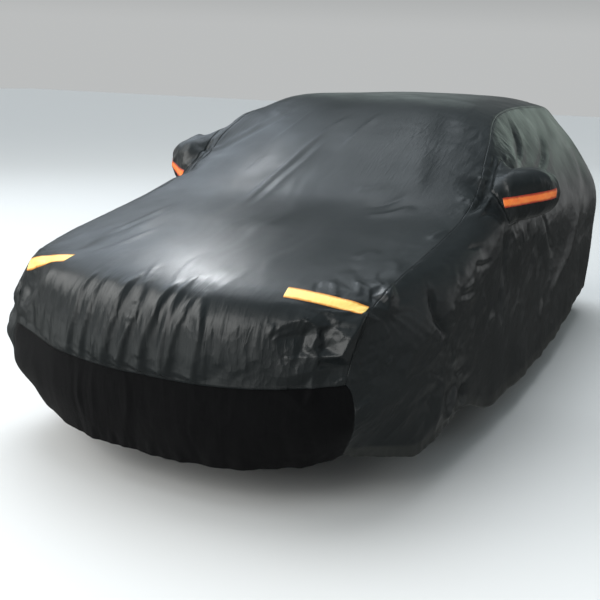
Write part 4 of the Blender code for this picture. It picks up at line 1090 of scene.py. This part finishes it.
def layerHeight(points, flow, steps, layer, number):
    turn, across, along, height, sharpness, places = layer
    mask = reachOf(points, places)
    near = np.flatnonzero(mask > 0.02)
    turn = math.radians(turn)
    u, v, panel = flow[near].T
    warp = makeNoise(seeds["bend"] + number)
    bend = 0.5 * across * warp(points[near] / (2.5 * across))
    bend = bend + 0.8 * across * warp(points[near] / (7 * across))
    place = np.stack((
        (u * math.cos(turn) + v * math.sin(turn) + bend) / across,
        (v * math.cos(turn) - u * math.sin(turn)) / along,
        panel * 5.3 + number,
    ), axis=-1)
    noise = makeNoise(seeds["layer"] + number)
    found = creased(noise(place), sharpness) * fineEnough(across, steps[near])
    finer = creased(noise(place * (2.1, 1.7, 1) + 7.7), sharpness)
    found += 0.35 * finer * fineEnough(across / 2.1, steps[near])
    patches = 0.65 + 0.7 * makeNoise(seeds["patches"] + number)(points[near] / (4 * across))
    return near, height * mask[near] * patches.clip(0.05, 1.3) * found


def fanHeight(points, normals, fan, number):
    middle, reach, ridges, height, sharpness = fan
    away = points - middle
    far = np.linalg.norm(away, axis=1)
    near = np.flatnonzero(far < 2.2 * reach)
    away, far = away[near], far[near] / reach
    out = normals[near][np.argmin(far)]
    level = np.cross((0, 0, 1), out)
    level /= np.linalg.norm(level)
    upward = np.cross(out, level)
    angle = np.arctan2(away @ upward, away @ level)
    angle += 0.5 * makeNoise(seeds["fanBend"] + number)(away / (0.8 * reach))
    around = ridges / (2 * math.pi)
    place = np.stack((np.cos(angle) * around, np.sin(angle) * around, far * 1.3 + number), axis=-1)
    found = creased(makeNoise(seeds["fan"] + number)(place), sharpness)
    fade = np.exp(-far ** 2) * ease(far, 0.05, 0.35)
    return near, height * fade * found


def addWrinkles(data):
    size = unevenness
    points, normals = pointsOf(data), normalsOf(data)
    sewn, along, flow = (vectorLayer(data, name) for name in ("sewn", "along", "flow"))
    steps = meshSteps(data)
    upward = ease(normals[:, 2], 0.4, 0.8)  # the cloth lies taut where it faces up
    broad = size["broad"] * (1 - 0.7 * upward)
    height = broad * makeNoise(seeds["broad"])(points / size["broadSize"])
    small = size["small"] * fineEnough(size["smallSize"], steps) * (1 - upward)
    height += small * creased(makeNoise(seeds["small"])(points / size["smallSize"]), 0.6)
    for number, layer in enumerate(wrinkleLayers.values()):
        near, move = layerHeight(points, flow, steps, layer, number)
        height[near] += move
    for number, fan in enumerate(fans):
        near, move = fanHeight(points, normals, fan, number)
        height[near] += move
    x, y, z = points.T
    hem = np.exp(-(sewn[:, 2] / size["gatherReach"]) ** 2)
    gather = np.stack((x, y, z * 0.3), axis=-1) / size["gatherSize"]
    gathered = makeNoise(seeds["gather"])(gather)
    height += size["gather"] * hem * gathered * fineEnough(size["gatherSize"], steps)
    for number in (0, 1):
        near = np.exp(-(sewn[:, number] / size["puckerReach"]) ** 2)
        wave = np.stack((along[:, number], 0 * x + number, 0 * x), axis=-1) / size["puckerSize"]
        height += size["pucker"] * near * makeNoise(seeds["pucker"] + number)(wave)
    movePoints(data, points + normals * height[:, None])
    # how slack and how streaked the cloth is at each point, for its material
    slack = size["slackBeside"] * (1 - ease(normals[:, 2], 0.1, 0.75))
    slack = slack + size["slackPlaces"] * reachOf(points, slackPlaces)
    streaked = reachOf(points, streakedPlaces)
    kind = np.stack((slack.clip(0, 1), streaked, 0 * slack), axis=-1)
    data.attributes.new("slack", "FLOAT_VECTOR", "POINT").data.foreach_set("vector", kind.ravel())


addWrinkles(form)
print("wrinkles made")

# materials


def makeMaterial(name):
    material = bpy.data.materials.new(name)
    material.use_nodes = True
    return material, material.node_tree.nodes["Principled BSDF"]


def addNode(material, kind, values=None, **settings):
    node = material.node_tree.nodes.new("ShaderNode" + kind)
    for name, value in settings.items():
        setattr(node, name, value)
    for name, value in (values or {}).items():
        if isinstance(value, bpy.types.NodeSocket):
            material.node_tree.links.new(value, node.inputs[name])
        else:
            node.inputs[name].default_value = value
    return node


def joinTo(material, output, socket):
    material.node_tree.links.new(output, socket)


def mixColours(material, share, first, second):
    node = addNode(material, "Mix", {0: share, 6: first, 7: second}, data_type="RGBA")
    return node.outputs[2]


def combine(material, operation, first, second=0.5, third=0.5):
    node = addNode(material, "Math", {0: first, 1: second, 2: third}, operation=operation)
    return node.outputs[0]


def mapped(material, value, source, target=(0.0, 1.0)):
    return addNode(material, "MapRange", {
        "Value": value, "From Min": source[0], "From Max": source[1],
        "To Min": target[0], "To Max": target[1],
    }).outputs[0]


def attributeParts(material, name):
    vector = addNode(material, "Attribute", attribute_name=name).outputs["Vector"]
    return addNode(material, "SeparateXYZ", {0: vector}).outputs


def stretchedNoise(material, place, stretch, scale, detail, distortion=0.0):
    turned = addNode(material, "Mapping", {"Vector": place, "Scale": stretch})
    return addNode(material, "TexNoise", {
        "Vector": turned.outputs[0], "Scale": scale, "Detail": detail, "Distortion": distortion,
    }).outputs["Fac"]


def creaseLines(material, noise):
    # sharp valleys where the noise crosses its middle
    return combine(material, "ABSOLUTE", combine(material, "SUBTRACT", noise, 0.5))


def crumpledCells(material, place, stretch, scale, wander):
    noise = addNode(material, "TexNoise", {"Vector": place, "Scale": scale * 0.45, "Detail": 3.0})
    moved = addNode(material, "VectorMath", {
        0: noise.outputs["Color"], 1: (wander, wander, wander), 2: place,
    }, operation="MULTIPLY_ADD")
    turned = addNode(material, "Mapping", {"Vector": moved.outputs[0], "Scale": stretch})
    cells = addNode(
        material, "TexVoronoi", {"Vector": turned.outputs[0], "Scale": scale}, feature="F1",
    )
    return combine(material, "POWER", cells.outputs["Distance"], 2.0)


def stitchLines(material, settings):
    # two rows of stitches beside every seam and one at the hem, and the hem's own band
    sewn, along = attributeParts(material, "sewn"), attributeParts(material, "along")
    hemWidth = settings["hemWidth"]
    total = None
    for axis, rows in enumerate((settings["stitchRows"], settings["stitchRows"], (hemWidth,))):
        dash = combine(material, "PINGPONG", along[axis], settings["stitchLength"])
        dash = combine(material, "LESS_THAN", dash, settings["stitchLength"] * 0.6)
        for away in rows:
            row = combine(material, "COMPARE", sewn[axis], away, settings["stitchWidth"])
            row = combine(material, "MULTIPLY", row, dash)
            total = row if total is None else combine(material, "MAXIMUM", total, row)
    hem = mapped(material, sewn[2], (hemWidth * 1.15, hemWidth * 0.85))
    return total, hem


coatedCloth = {
    "dark": (0.0055, 0.0072, 0.0078),
    "light": (0.0110, 0.0140, 0.0150),
    "thread": (0.014, 0.015, 0.016),
    "hem": (0.034, 0.035, 0.031),  # the elastic's doubled hem
    "hemWidth": 0.045,
    "roughness": (0.29, 0.40),
    "ior": 1.42,
    "streakStretch": (1, 0.16, 1),
    "streakDepth": 0.0045,
    "crumples": (15.0, 0.030),  # how many to a metre, how far they wander
    "crinkles": (46.0, 0.012),
    "crumpleStretch": (1.0, 0.55, 1.0),
    "crumpleDepth": 0.0110,
    "crinkleDepth": 0.0034,
    "weaveScale": 260.0,
    "weaveDepth": 0.00008,
    "stitchRows": (0.006, 0.012),
    "stitchWidth": 0.0007,
    "stitchLength": 0.0035,
    "stitchDepth": 0.0004,
}
# what differs on the side panels, which show less gloss and hang in steeper folds
dullerSides = {
    "ior": 1.40,
    "roughness": (0.28, 0.42),
    "crumpleStretch": (0.42, 0.9, 1.0),
    "crumpleDepth": 0.0070,
    "crinkleDepth": 0.0016,
}


def makeCoatedCloth(name, settings):
    material, shader = makeMaterial(name)
    shader.inputs["IOR"].default_value = settings["ior"]
    place = addNode(material, "TexCoord")
    flat, solid = place.outputs["UV"], place.outputs["Object"]
    clouds = stretchedNoise(material, solid, (1, 1, 1), 2.6, 5.0)
    patches = stretchedNoise(material, solid, (1, 1, 1), 5.5, 2.0)
    slack, streaked = attributeParts(material, "slack")[:2]
    # streaks that run down the cloth, and crumples: bowls with sharp ridges between them
    streaks = stretchedNoise(material, flat, settings["streakStretch"], 42.0, 2.0, 0.4)
    streaks = creaseLines(material, streaks)
    crumples, crinkles = (
        crumpledCells(material, flat, settings["crumpleStretch"], scale, wander)
        for scale, wander in (settings["crumples"], settings["crinkles"])
    )
    crumpleShare = mapped(material, patches, (0.38, 0.62), (0.15, 1.0))
    crumpleShare = combine(material, "MULTIPLY", crumpleShare, slack)
    weave = addNode(material, "TexWave", {
        "Vector": flat, "Scale": settings["weaveScale"], "Distortion": 2.0, "Detail": 1.0,
    }, bands_direction="DIAGONAL").outputs["Fac"]
    stitches, hem = stitchLines(material, settings)
    colour = mixColours(material, clouds, (*settings["dark"], 1), (*settings["light"], 1))
    hem = combine(material, "MULTIPLY", hem, clouds)
    colour = mixColours(material, hem, colour, (*settings["hem"], 1))
    colour = mixColours(material, stitches, colour, (*settings["thread"], 1))
    joinTo(material, colour, shader.inputs["Base Color"])
    rough = mapped(material, patches, (0.3, 0.7), settings["roughness"])
    joinTo(material, rough, shader.inputs["Roughness"])
    normal = None
    for height, depth, strength in (
        (combine(material, "MULTIPLY", streaks, streaked), settings["streakDepth"], 1.0),
        (combine(material, "MULTIPLY", crumples, crumpleShare), settings["crumpleDepth"], 1.0),
        (combine(material, "MULTIPLY", crinkles, crumpleShare), settings["crinkleDepth"], 1.0),
        (weave, settings["weaveDepth"], 0.5),
        (stitches, -settings["stitchDepth"], 1.0),
    ):
        bump = addNode(material, "Bump", {
            "Height": height, "Distance": depth, "Strength": strength,
        })
        if normal is not None:
            joinTo(material, normal, bump.inputs["Normal"])
        normal = bump.outputs[0]
    joinTo(material, normal, shader.inputs["Normal"])
    return material


plainCloth = {
    "dark": (0.0024, 0.0024, 0.0027),
    "light": (0.0050, 0.0050, 0.0054),
    "roughness": 0.66,
    "ior": 1.10,
    "sheen": 0.04,
    "creaseDepth": 0.0030,
    "weaveScale": 300.0,
    "weaveDepth": 0.00025,
}


def makePlainCloth(settings):
    material, shader = makeMaterial("plainCloth")
    shader.inputs["IOR"].default_value = settings["ior"]
    shader.inputs["Roughness"].default_value = settings["roughness"]
    shader.inputs["Sheen Weight"].default_value = settings["sheen"]
    place = addNode(material, "TexCoord")
    flat, solid = place.outputs["UV"], place.outputs["Object"]
    clouds = stretchedNoise(material, solid, (1, 1, 1), 6.0, 6.0)
    colour = mixColours(material, clouds, (*settings["dark"], 1), (*settings["light"], 1))
    joinTo(material, colour, shader.inputs["Base Color"])
    lines = creaseLines(material, stretchedNoise(material, flat, (1, 0.16, 1), 26.0, 2.0, 0.4))
    threads = {"Vector": flat, "Scale": settings["weaveScale"], "Distortion": 0.6}
    across, down = (
        addNode(material, "TexWave", threads, bands_direction=way).outputs["Fac"] for way in "XY"
    )
    weave = combine(material, "MAXIMUM", across, down)
    first = addNode(material, "Bump", {"Height": lines, "Distance": settings["creaseDepth"]})
    second = addNode(material, "Bump", {
        "Height": weave, "Distance": settings["weaveDepth"], "Normal": first.outputs[0],
    })
    joinTo(material, second.outputs[0], shader.inputs["Normal"])
    return material


reflectiveTapes = {
    "yellowReflective": {
        "middle": (0.95, 0.70, 0.22),
        "worn": (0.95, 0.66, 0.16),
        "edge": (0.60, 0.22, 0.02),
        "edgeWidth": 0.14,
    },
    "orangeReflective": {
        "middle": (0.98, 0.34, 0.07),
        "worn": (0.98, 0.12, 0.015),
        "edge": (0.38, 0.03, 0.010),
        "edgeWidth": 0.20,
    },
}


tapeFinish = {
    "roughness": 0.38,
    "coat": 0.2,
    "creaseDepth": 0.0035,
    "beads": 420.0,  # glass beads, how many to a metre
    "beadDepth": 0.0004,
}


def makeReflectiveTape(name, settings):
    material, shader = makeMaterial(name)
    shader.inputs["Roughness"].default_value = tapeFinish["roughness"]
    shader.inputs["Coat Weight"].default_value = tapeFinish["coat"]
    place = addNode(material, "Attribute", attribute_name="place")
    parts = addNode(material, "SeparateXYZ", {0: place.outputs["Vector"]})
    solid = addNode(material, "TexCoord").outputs["Object"]
    clouds = stretchedNoise(material, solid, (1, 1, 1), 38.0, 4.0)
    wander = combine(material, "MULTIPLY", combine(material, "SUBTRACT", clouds, 0.5), 0.16)
    # how near a point is to the tape's two long edges, which are folded under and sewn
    fromMiddle = combine(material, "SUBTRACT", parts.outputs["Y"], 0.5)
    fromMiddle = combine(material, "ABSOLUTE", fromMiddle)
    fromMiddle = combine(material, "ADD", fromMiddle, wander)
    width = settings["edgeWidth"]
    edge = mapped(material, fromMiddle, (0.5 - 1.5 * width, 0.5 - 0.5 * width))
    colour = mixColours(material, clouds, (*settings["middle"], 1), (*settings["worn"], 1))
    colour = mixColours(material, edge, colour, (*settings["edge"], 1))
    joinTo(material, colour, shader.inputs["Base Color"])
    beads = addNode(material, "TexVoronoi", {
        "Vector": solid, "Scale": tapeFinish["beads"],
    }, feature="DISTANCE_TO_EDGE")
    lines = stretchedNoise(material, place.outputs["Vector"], (9, 0.8, 1), 1.6, 3.0, 0.3)
    lines = creaseLines(material, lines)
    first = addNode(material, "Bump", {"Height": lines, "Distance": tapeFinish["creaseDepth"]})
    second = addNode(material, "Bump", {
        "Height": beads.outputs["Distance"], "Distance": tapeFinish["beadDepth"],
        "Strength": 0.5, "Normal": first.outputs[0],
    })
    joinTo(material, second.outputs[0], shader.inputs["Normal"])
    return material


coatedMaterial = makeCoatedCloth("coatedCloth", coatedCloth)
sideMaterial = makeCoatedCloth("coatedSides", {**coatedCloth, **dullerSides})
plainMaterial = makePlainCloth(plainCloth)
yellowMaterial, orangeMaterial = (makeReflectiveTape(*item) for item in reflectiveTapes.items())
print("materials made")

# the panels, cut from the folded form along their seams

clothThickness = 0.0012
panels = [
    # name, material, slot, flat width and length, flat area
    ("centre_panel", coatedMaterial, "coated_cloth", (1.60, 5.60), None),
    ("side_panel_left", sideMaterial, "coated_cloth", (1.10, 4.40), None),
    ("side_panel_right", sideMaterial, "coated_cloth", (1.10, 4.40), None),
    ("nose_panel", plainMaterial, "plain_cloth", (0.36, 1.60), None),
    ("tail_panel", plainMaterial, "plain_cloth", (0.36, 1.60), None),
    ("mirror_pouch_left", coatedMaterial, "coated_cloth", (0.42, 0.50), None),
    ("mirror_pouch_right", coatedMaterial, "coated_cloth", (0.42, 0.50), None),
]
overlap = {"drop": 0.002, "proud": 0.0035, "reach": 0.05}


def cutPanel(number):
    sheet = bmesh.new()
    sheet.from_mesh(form)
    faceLayer = sheet.faces.layers.int["panel"]
    away = [face for face in sheet.faces if face[faceLayer] != number]
    bmesh.ops.delete(sheet, geom=away, context="FACES")
    if number == 0:  # its front and rear edges are sewn over the lower panels
        sewnLayer = sheet.verts.layers.float_vector["sewn"]
        for vert in sheet.verts:
            near = max(1 - vert[sewnLayer].y / overlap["reach"], 0) ** 2
            if near > 0:
                vert.co += vert.normal * overlap["proud"] * near
                vert.co.z -= overlap["drop"] * near
    bmesh.ops.translate(sheet, verts=sheet.verts, vec=-Vector(roofPoint))
    for face in sheet.faces:
        face.smooth = True
    return sheet


clothPieces = {}
for number, (name, material, slot, flat, area) in enumerate(panels):
    sheet = cutPanel(number)
    print(name, "area", round(sum(face.calc_area() for face in sheet.faces), 3))
    data = bpy.data.meshes.new(name + "_cloth")
    sheet.to_mesh(data)
    sheet.free()
    data.materials.append(material)
    item = bpy.data.objects.new(name + "_cloth", data)
    bpy.context.scene.collection.objects.link(item)
    thick = item.modifiers.new("thickness", "SOLIDIFY")
    thick.thickness = clothThickness
    thick.offset = -1.0
    clothPieces[name] = item
    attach(item, "root")
    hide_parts(name)
print("panels cut")

# reflective strips

strips = {
    # corners from the inner end to the outer, upper edge first; the panel, the way it faces
    "front_strip_left": (
        (
            (0.450, 0.205, 0.807), (0.734, 0.262, 0.764),
            (0.461, 0.140, 0.783), (0.722, 0.222, 0.733),
        ),
        ["centre_panel"], (0.25, -0.55, 0.80), "yellow_reflective", (0.045, 0.31),
    ),
    "front_strip_right": (
        (
            (-0.494, 0.215, 0.810), (-0.752, 0.255, 0.752),
            (-0.510, 0.160, 0.787), (-0.742, 0.205, 0.712),
        ),
        ["centre_panel"], (-0.30, -0.55, 0.78), "yellow_reflective", (0.045, 0.29),
    ),
    "mirror_strip_left": (
        (
            (0.840, 1.500, 1.020), (1.040, 1.690, 1.064),
            (0.852, 1.497, 0.974), (1.040, 1.690, 1.018),
        ),
        ["mirror_pouch_left", "side_panel_left"], (0.62, -0.78, 0.00),
        "orange_reflective", (0.040, 0.26),
    ),
    "mirror_strip_right": (
        (
            (-0.840, 1.500, 1.014), (-1.040, 1.690, 1.058),
            (-0.852, 1.497, 0.968), (-1.040, 1.690, 1.012),
        ),
        ["mirror_pouch_right", "side_panel_right"], (-0.62, -0.78, 0.00),
        "orange_reflective", (0.040, 0.26),
    ),
}
stripThickness = 0.0008
stripLift = 0.0016  # how far the tape's underside stands off the cloth
stripSteps = (64, 10)
stripTurns = 2  # how often its points are smoothed
rayStart, rayReach = 0.12, 0.3  # where the tape comes down on the cloth from, and how far it looks


def makeStrip(name, corners, panel, facing, slot, flat):
    innerTop, outerTop, innerLow, outerLow = (Vector(c) - Vector(roofPoint) for c in corners)
    facing = Vector(facing).normalized()
    cloth = bmesh.new()
    for under in panel:
        cloth.from_mesh(clothPieces[under].data)
    tree = BVHTree.FromBMesh(cloth)
    cloth.free()
    strip = bmesh.new()
    bmesh.ops.create_grid(strip, x_segments=stripSteps[0], y_segments=stripSteps[1], size=1.0)
    layer = strip.verts.layers.float_vector.new("place")
    for vert in strip.verts:
        along, up = (vert.co.x + 1) / 2, (vert.co.y + 1) / 2
        low, top = innerLow.lerp(outerLow, along), innerTop.lerp(outerTop, along)
        start = low.lerp(top, up) + facing * rayStart
        hit, normal, face, far = tree.ray_cast(start, -facing, rayReach)
        if hit is None:
            hit, normal, face, far = tree.find_nearest(low.lerp(top, up))
        vert[layer] = (along, up, 0)
        vert.co = hit + normal * stripLift
    smoothPoints(strip, strip.verts, stripTurns)
    bmesh.ops.recalc_face_normals(strip, faces=strip.faces)
    if sum((face.normal for face in strip.faces), Vector()).dot(facing) < 0:
        bmesh.ops.reverse_faces(strip, faces=strip.faces)
    for vert in strip.verts:
        near, normal, face, far = tree.find_nearest(vert.co)
        above = (vert.co - near).dot(facing)
        if above < stripLift:
            vert.co += facing * (stripLift - above)
    for face in strip.faces:
        face.smooth = True
    data = bpy.data.meshes.new(name + "_tape")
    strip.to_mesh(data)
    strip.free()
    data.materials.append(yellowMaterial if slot.startswith("yellow") else orangeMaterial)
    item = bpy.data.objects.new(name + "_tape", data)
    bpy.context.scene.collection.objects.link(item)
    thick = item.modifiers.new("thickness", "SOLIDIFY")
    thick.thickness = stripThickness
    thick.offset = 1.0
    item.visible_glossy = False  # else the gloss beside it shows an orange smear
    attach(item, "root")
    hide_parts(name)
    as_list(panel)


for name, (corners, panel, facing, slot, flat) in strips.items():
    makeStrip(name, corners, panel, facing, slot, flat)
print("strips sewn on")

# floor and light

studio = {
    "floorSize": 80.0,
    "floorColour": (0.66, 0.66, 0.655),
    # what the cloth's gloss shows just below the horizon: azimuth from the front towards the
    # car's left, and brightness; further down it sinks to one level
    "ring": [
        (-180, 0.06), (-94, 0.06), (-82, 1.20), (-60, 1.45), (-30, 1.70), (-6, 1.25), (16, 0.55),
        (42, 0.18), (72, 0.18), (84, 0.30), (106, 0.30), (120, 0.16), (140, 0.12), (158, 0.05),
        (180, 0.05),
    ],
    "ringColour": (0.96, 1.0, 0.98),
    "ringTop": (-0.10, -0.05),  # from where the dome takes over
    "deep": {"level": 0.22, "heights": (-0.24, -0.42)},
    # brightness of the surroundings by height: the sine of the elevation and a colour
    "dome": [
        (-0.05, (0.50, 0.51, 0.51)),
        (0.05, (0.50, 0.51, 0.51)),
        (0.16, (0.22, 0.235, 0.235)),
        (0.60, (0.16, 0.19, 0.20)),
        (0.85, (0.34, 0.39, 0.42)),
        (1.00, (0.48, 0.54, 0.58)),
    ],
    "sky": {"from": (-145, 62), "strength": 2.0, "spread": 50, "colour": (0.93, 0.97, 1.0)},
    # name, direction it comes from (azimuth from the front towards the car's left,
    # elevation), distance, point it looks at, size, radiance, colour, half angle of its cone
    "lamps": [
        ("window", (-128, 34), 9.0, (0.0, 0.8, 0.9), (4.0, 5.4), 1.60, (0.78, 0.88, 1.0), 90),
        ("glare", (-140, 36), 3.2, (0.16, 0.16, 0.8), (0.50, 0.36), 34.0, (0.96, 0.98, 1.0), 20),
        ("right", (-72, 36), 9.0, (0.0, 1.0, 0.7), (6.4, 5.6), 3.8, (1.0, 1.0, 0.98), 90),
        ("front", (-19, 29), 9.0, (0.0, 0.2, 0.7), (9.0, 5.6), 4.3, (1.0, 1.0, 0.98), 90),
        ("beside", (92, 32), 9.0, (0.8, 3.6, 0.8), (3.6, 6.0), 0.9, (0.96, 1.0, 1.0), 90),
        ("overhead", (-137, 66), 6.5, (0.0, 2.4, 1.2), (4.0, 4.0), 1.5, (0.86, 0.94, 1.0), 90),
        ("rearLow", (172, 13), 12.0, (0.4, 2.8, 1.2), (5.0, 2.2), 0.90, (0.78, 1.0, 0.86), 90),
        ("rearHigh", (-157, 15), 12.0, (0.0, 2.8, 1.3), (4.0, 1.2), 0.8, (0.80, 1.0, 0.95), 90),
    ],
}


def directionFrom(angles):
    azimuth, elevation = (math.radians(angle) for angle in angles)
    return Vector((
        math.sin(azimuth) * math.cos(elevation),
        -math.cos(azimuth) * math.cos(elevation),
        math.sin(elevation),
    ))


def addRamp(world, place, stops):
    ramp = addNode(world, "ValToRGB")
    elements = ramp.color_ramp.elements
    while len(elements) < len(stops):
        elements.new(0.5)
    for element, (position, colour) in zip(elements, stops):
        element.position = position
        element.color = (*colour, 1)
    joinTo(world, place, ramp.inputs["Fac"])
    return ramp.outputs["Color"]


def addFloor(settings):
    floor = bmesh.new()
    bmesh.ops.create_grid(floor, x_segments=1, y_segments=1, size=settings["floorSize"] / 2)
    bmesh.ops.translate(floor, verts=floor.verts, vec=-Vector((0, 0, roofPoint[2])))
    data = bpy.data.meshes.new("floor")
    floor.to_mesh(data)
    floor.free()
    material, shader = makeMaterial("floor")
    shader.inputs["Base Color"].default_value = (*settings["floorColour"], 1)
    shader.inputs["Roughness"].default_value = 0.9
    data.materials.append(material)
    item = bpy.data.objects.new("floor", data)
    bpy.context.scene.collection.objects.link(item)
    item.visible_glossy = False


def addSurroundings(settings):
    world = bpy.data.worlds.new("studio")
    world.use_nodes = True
    place = addNode(world, "TexCoord").outputs["Generated"]
    x, y, z = addNode(world, "SeparateXYZ", {0: place}).outputs
    stops = [((height + 1) / 2, colour) for height, colour in settings["dome"]]
    dome = addRamp(world, mapped(world, z, (-1.0, 1.0)), stops)
    azimuth = combine(world, "ARCTAN2", x, combine(world, "MULTIPLY", y, -1))
    stops = [
        ((angle + 180) / 360, [bright * part for part in settings["ringColour"]])
        for angle, bright in settings["ring"]
    ]
    ring = addRamp(world, mapped(world, azimuth, (-math.pi, math.pi)), stops)
    deep = settings["deep"]
    lowest = (*(deep["level"] * part for part in settings["ringColour"]), 1)
    below = mixColours(world, mapped(world, z, deep["heights"]), ring, lowest)
    colour = mixColours(world, mapped(world, z, settings["ringTop"]), below, dome)
    joinTo(world, colour, world.node_tree.nodes["Background"].inputs["Color"])
    bpy.context.scene.world = world


def addLights(settings):
    # a broad soft sky light that brightens the whole floor evenly
    sky = settings["sky"]
    soft = bpy.data.lights.new("sky", "SUN")
    soft.energy, soft.color = sky["strength"], sky["colour"]
    soft.angle = math.radians(sky["spread"])
    item = bpy.data.objects.new("sky", soft)
    item.rotation_euler = directionFrom(sky["from"]).to_track_quat("Z", "Y").to_euler()
    item.visible_glossy = False
    bpy.context.scene.collection.objects.link(item)
    for name, angles, far, target, size, radiance, colour, cone in settings["lamps"]:
        away = directionFrom(angles)
        lamp = bpy.data.lights.new(name, "AREA")
        lamp.shape = "RECTANGLE"
        lamp.size, lamp.size_y = size
        lamp.spread = math.radians(2 * cone)
        narrow = 1 - math.radians(cone) / math.tan(math.radians(cone)) if cone < 90 else 1
        lamp.energy = radiance * math.pi * size[0] * size[1] * narrow
        lamp.color = colour
        item = bpy.data.objects.new(name, lamp)
        item.location = Vector(target) + away * far - Vector(roofPoint)
        item.rotation_euler = away.to_track_quat("Z", "Y").to_euler()
        item.visible_camera = False
        bpy.context.scene.collection.objects.link(item)


addFloor(studio)
addSurroundings(studio)
addLights(studio)
bpy.context.scene.view_settings.view_transform = "Standard"
print("studio set")
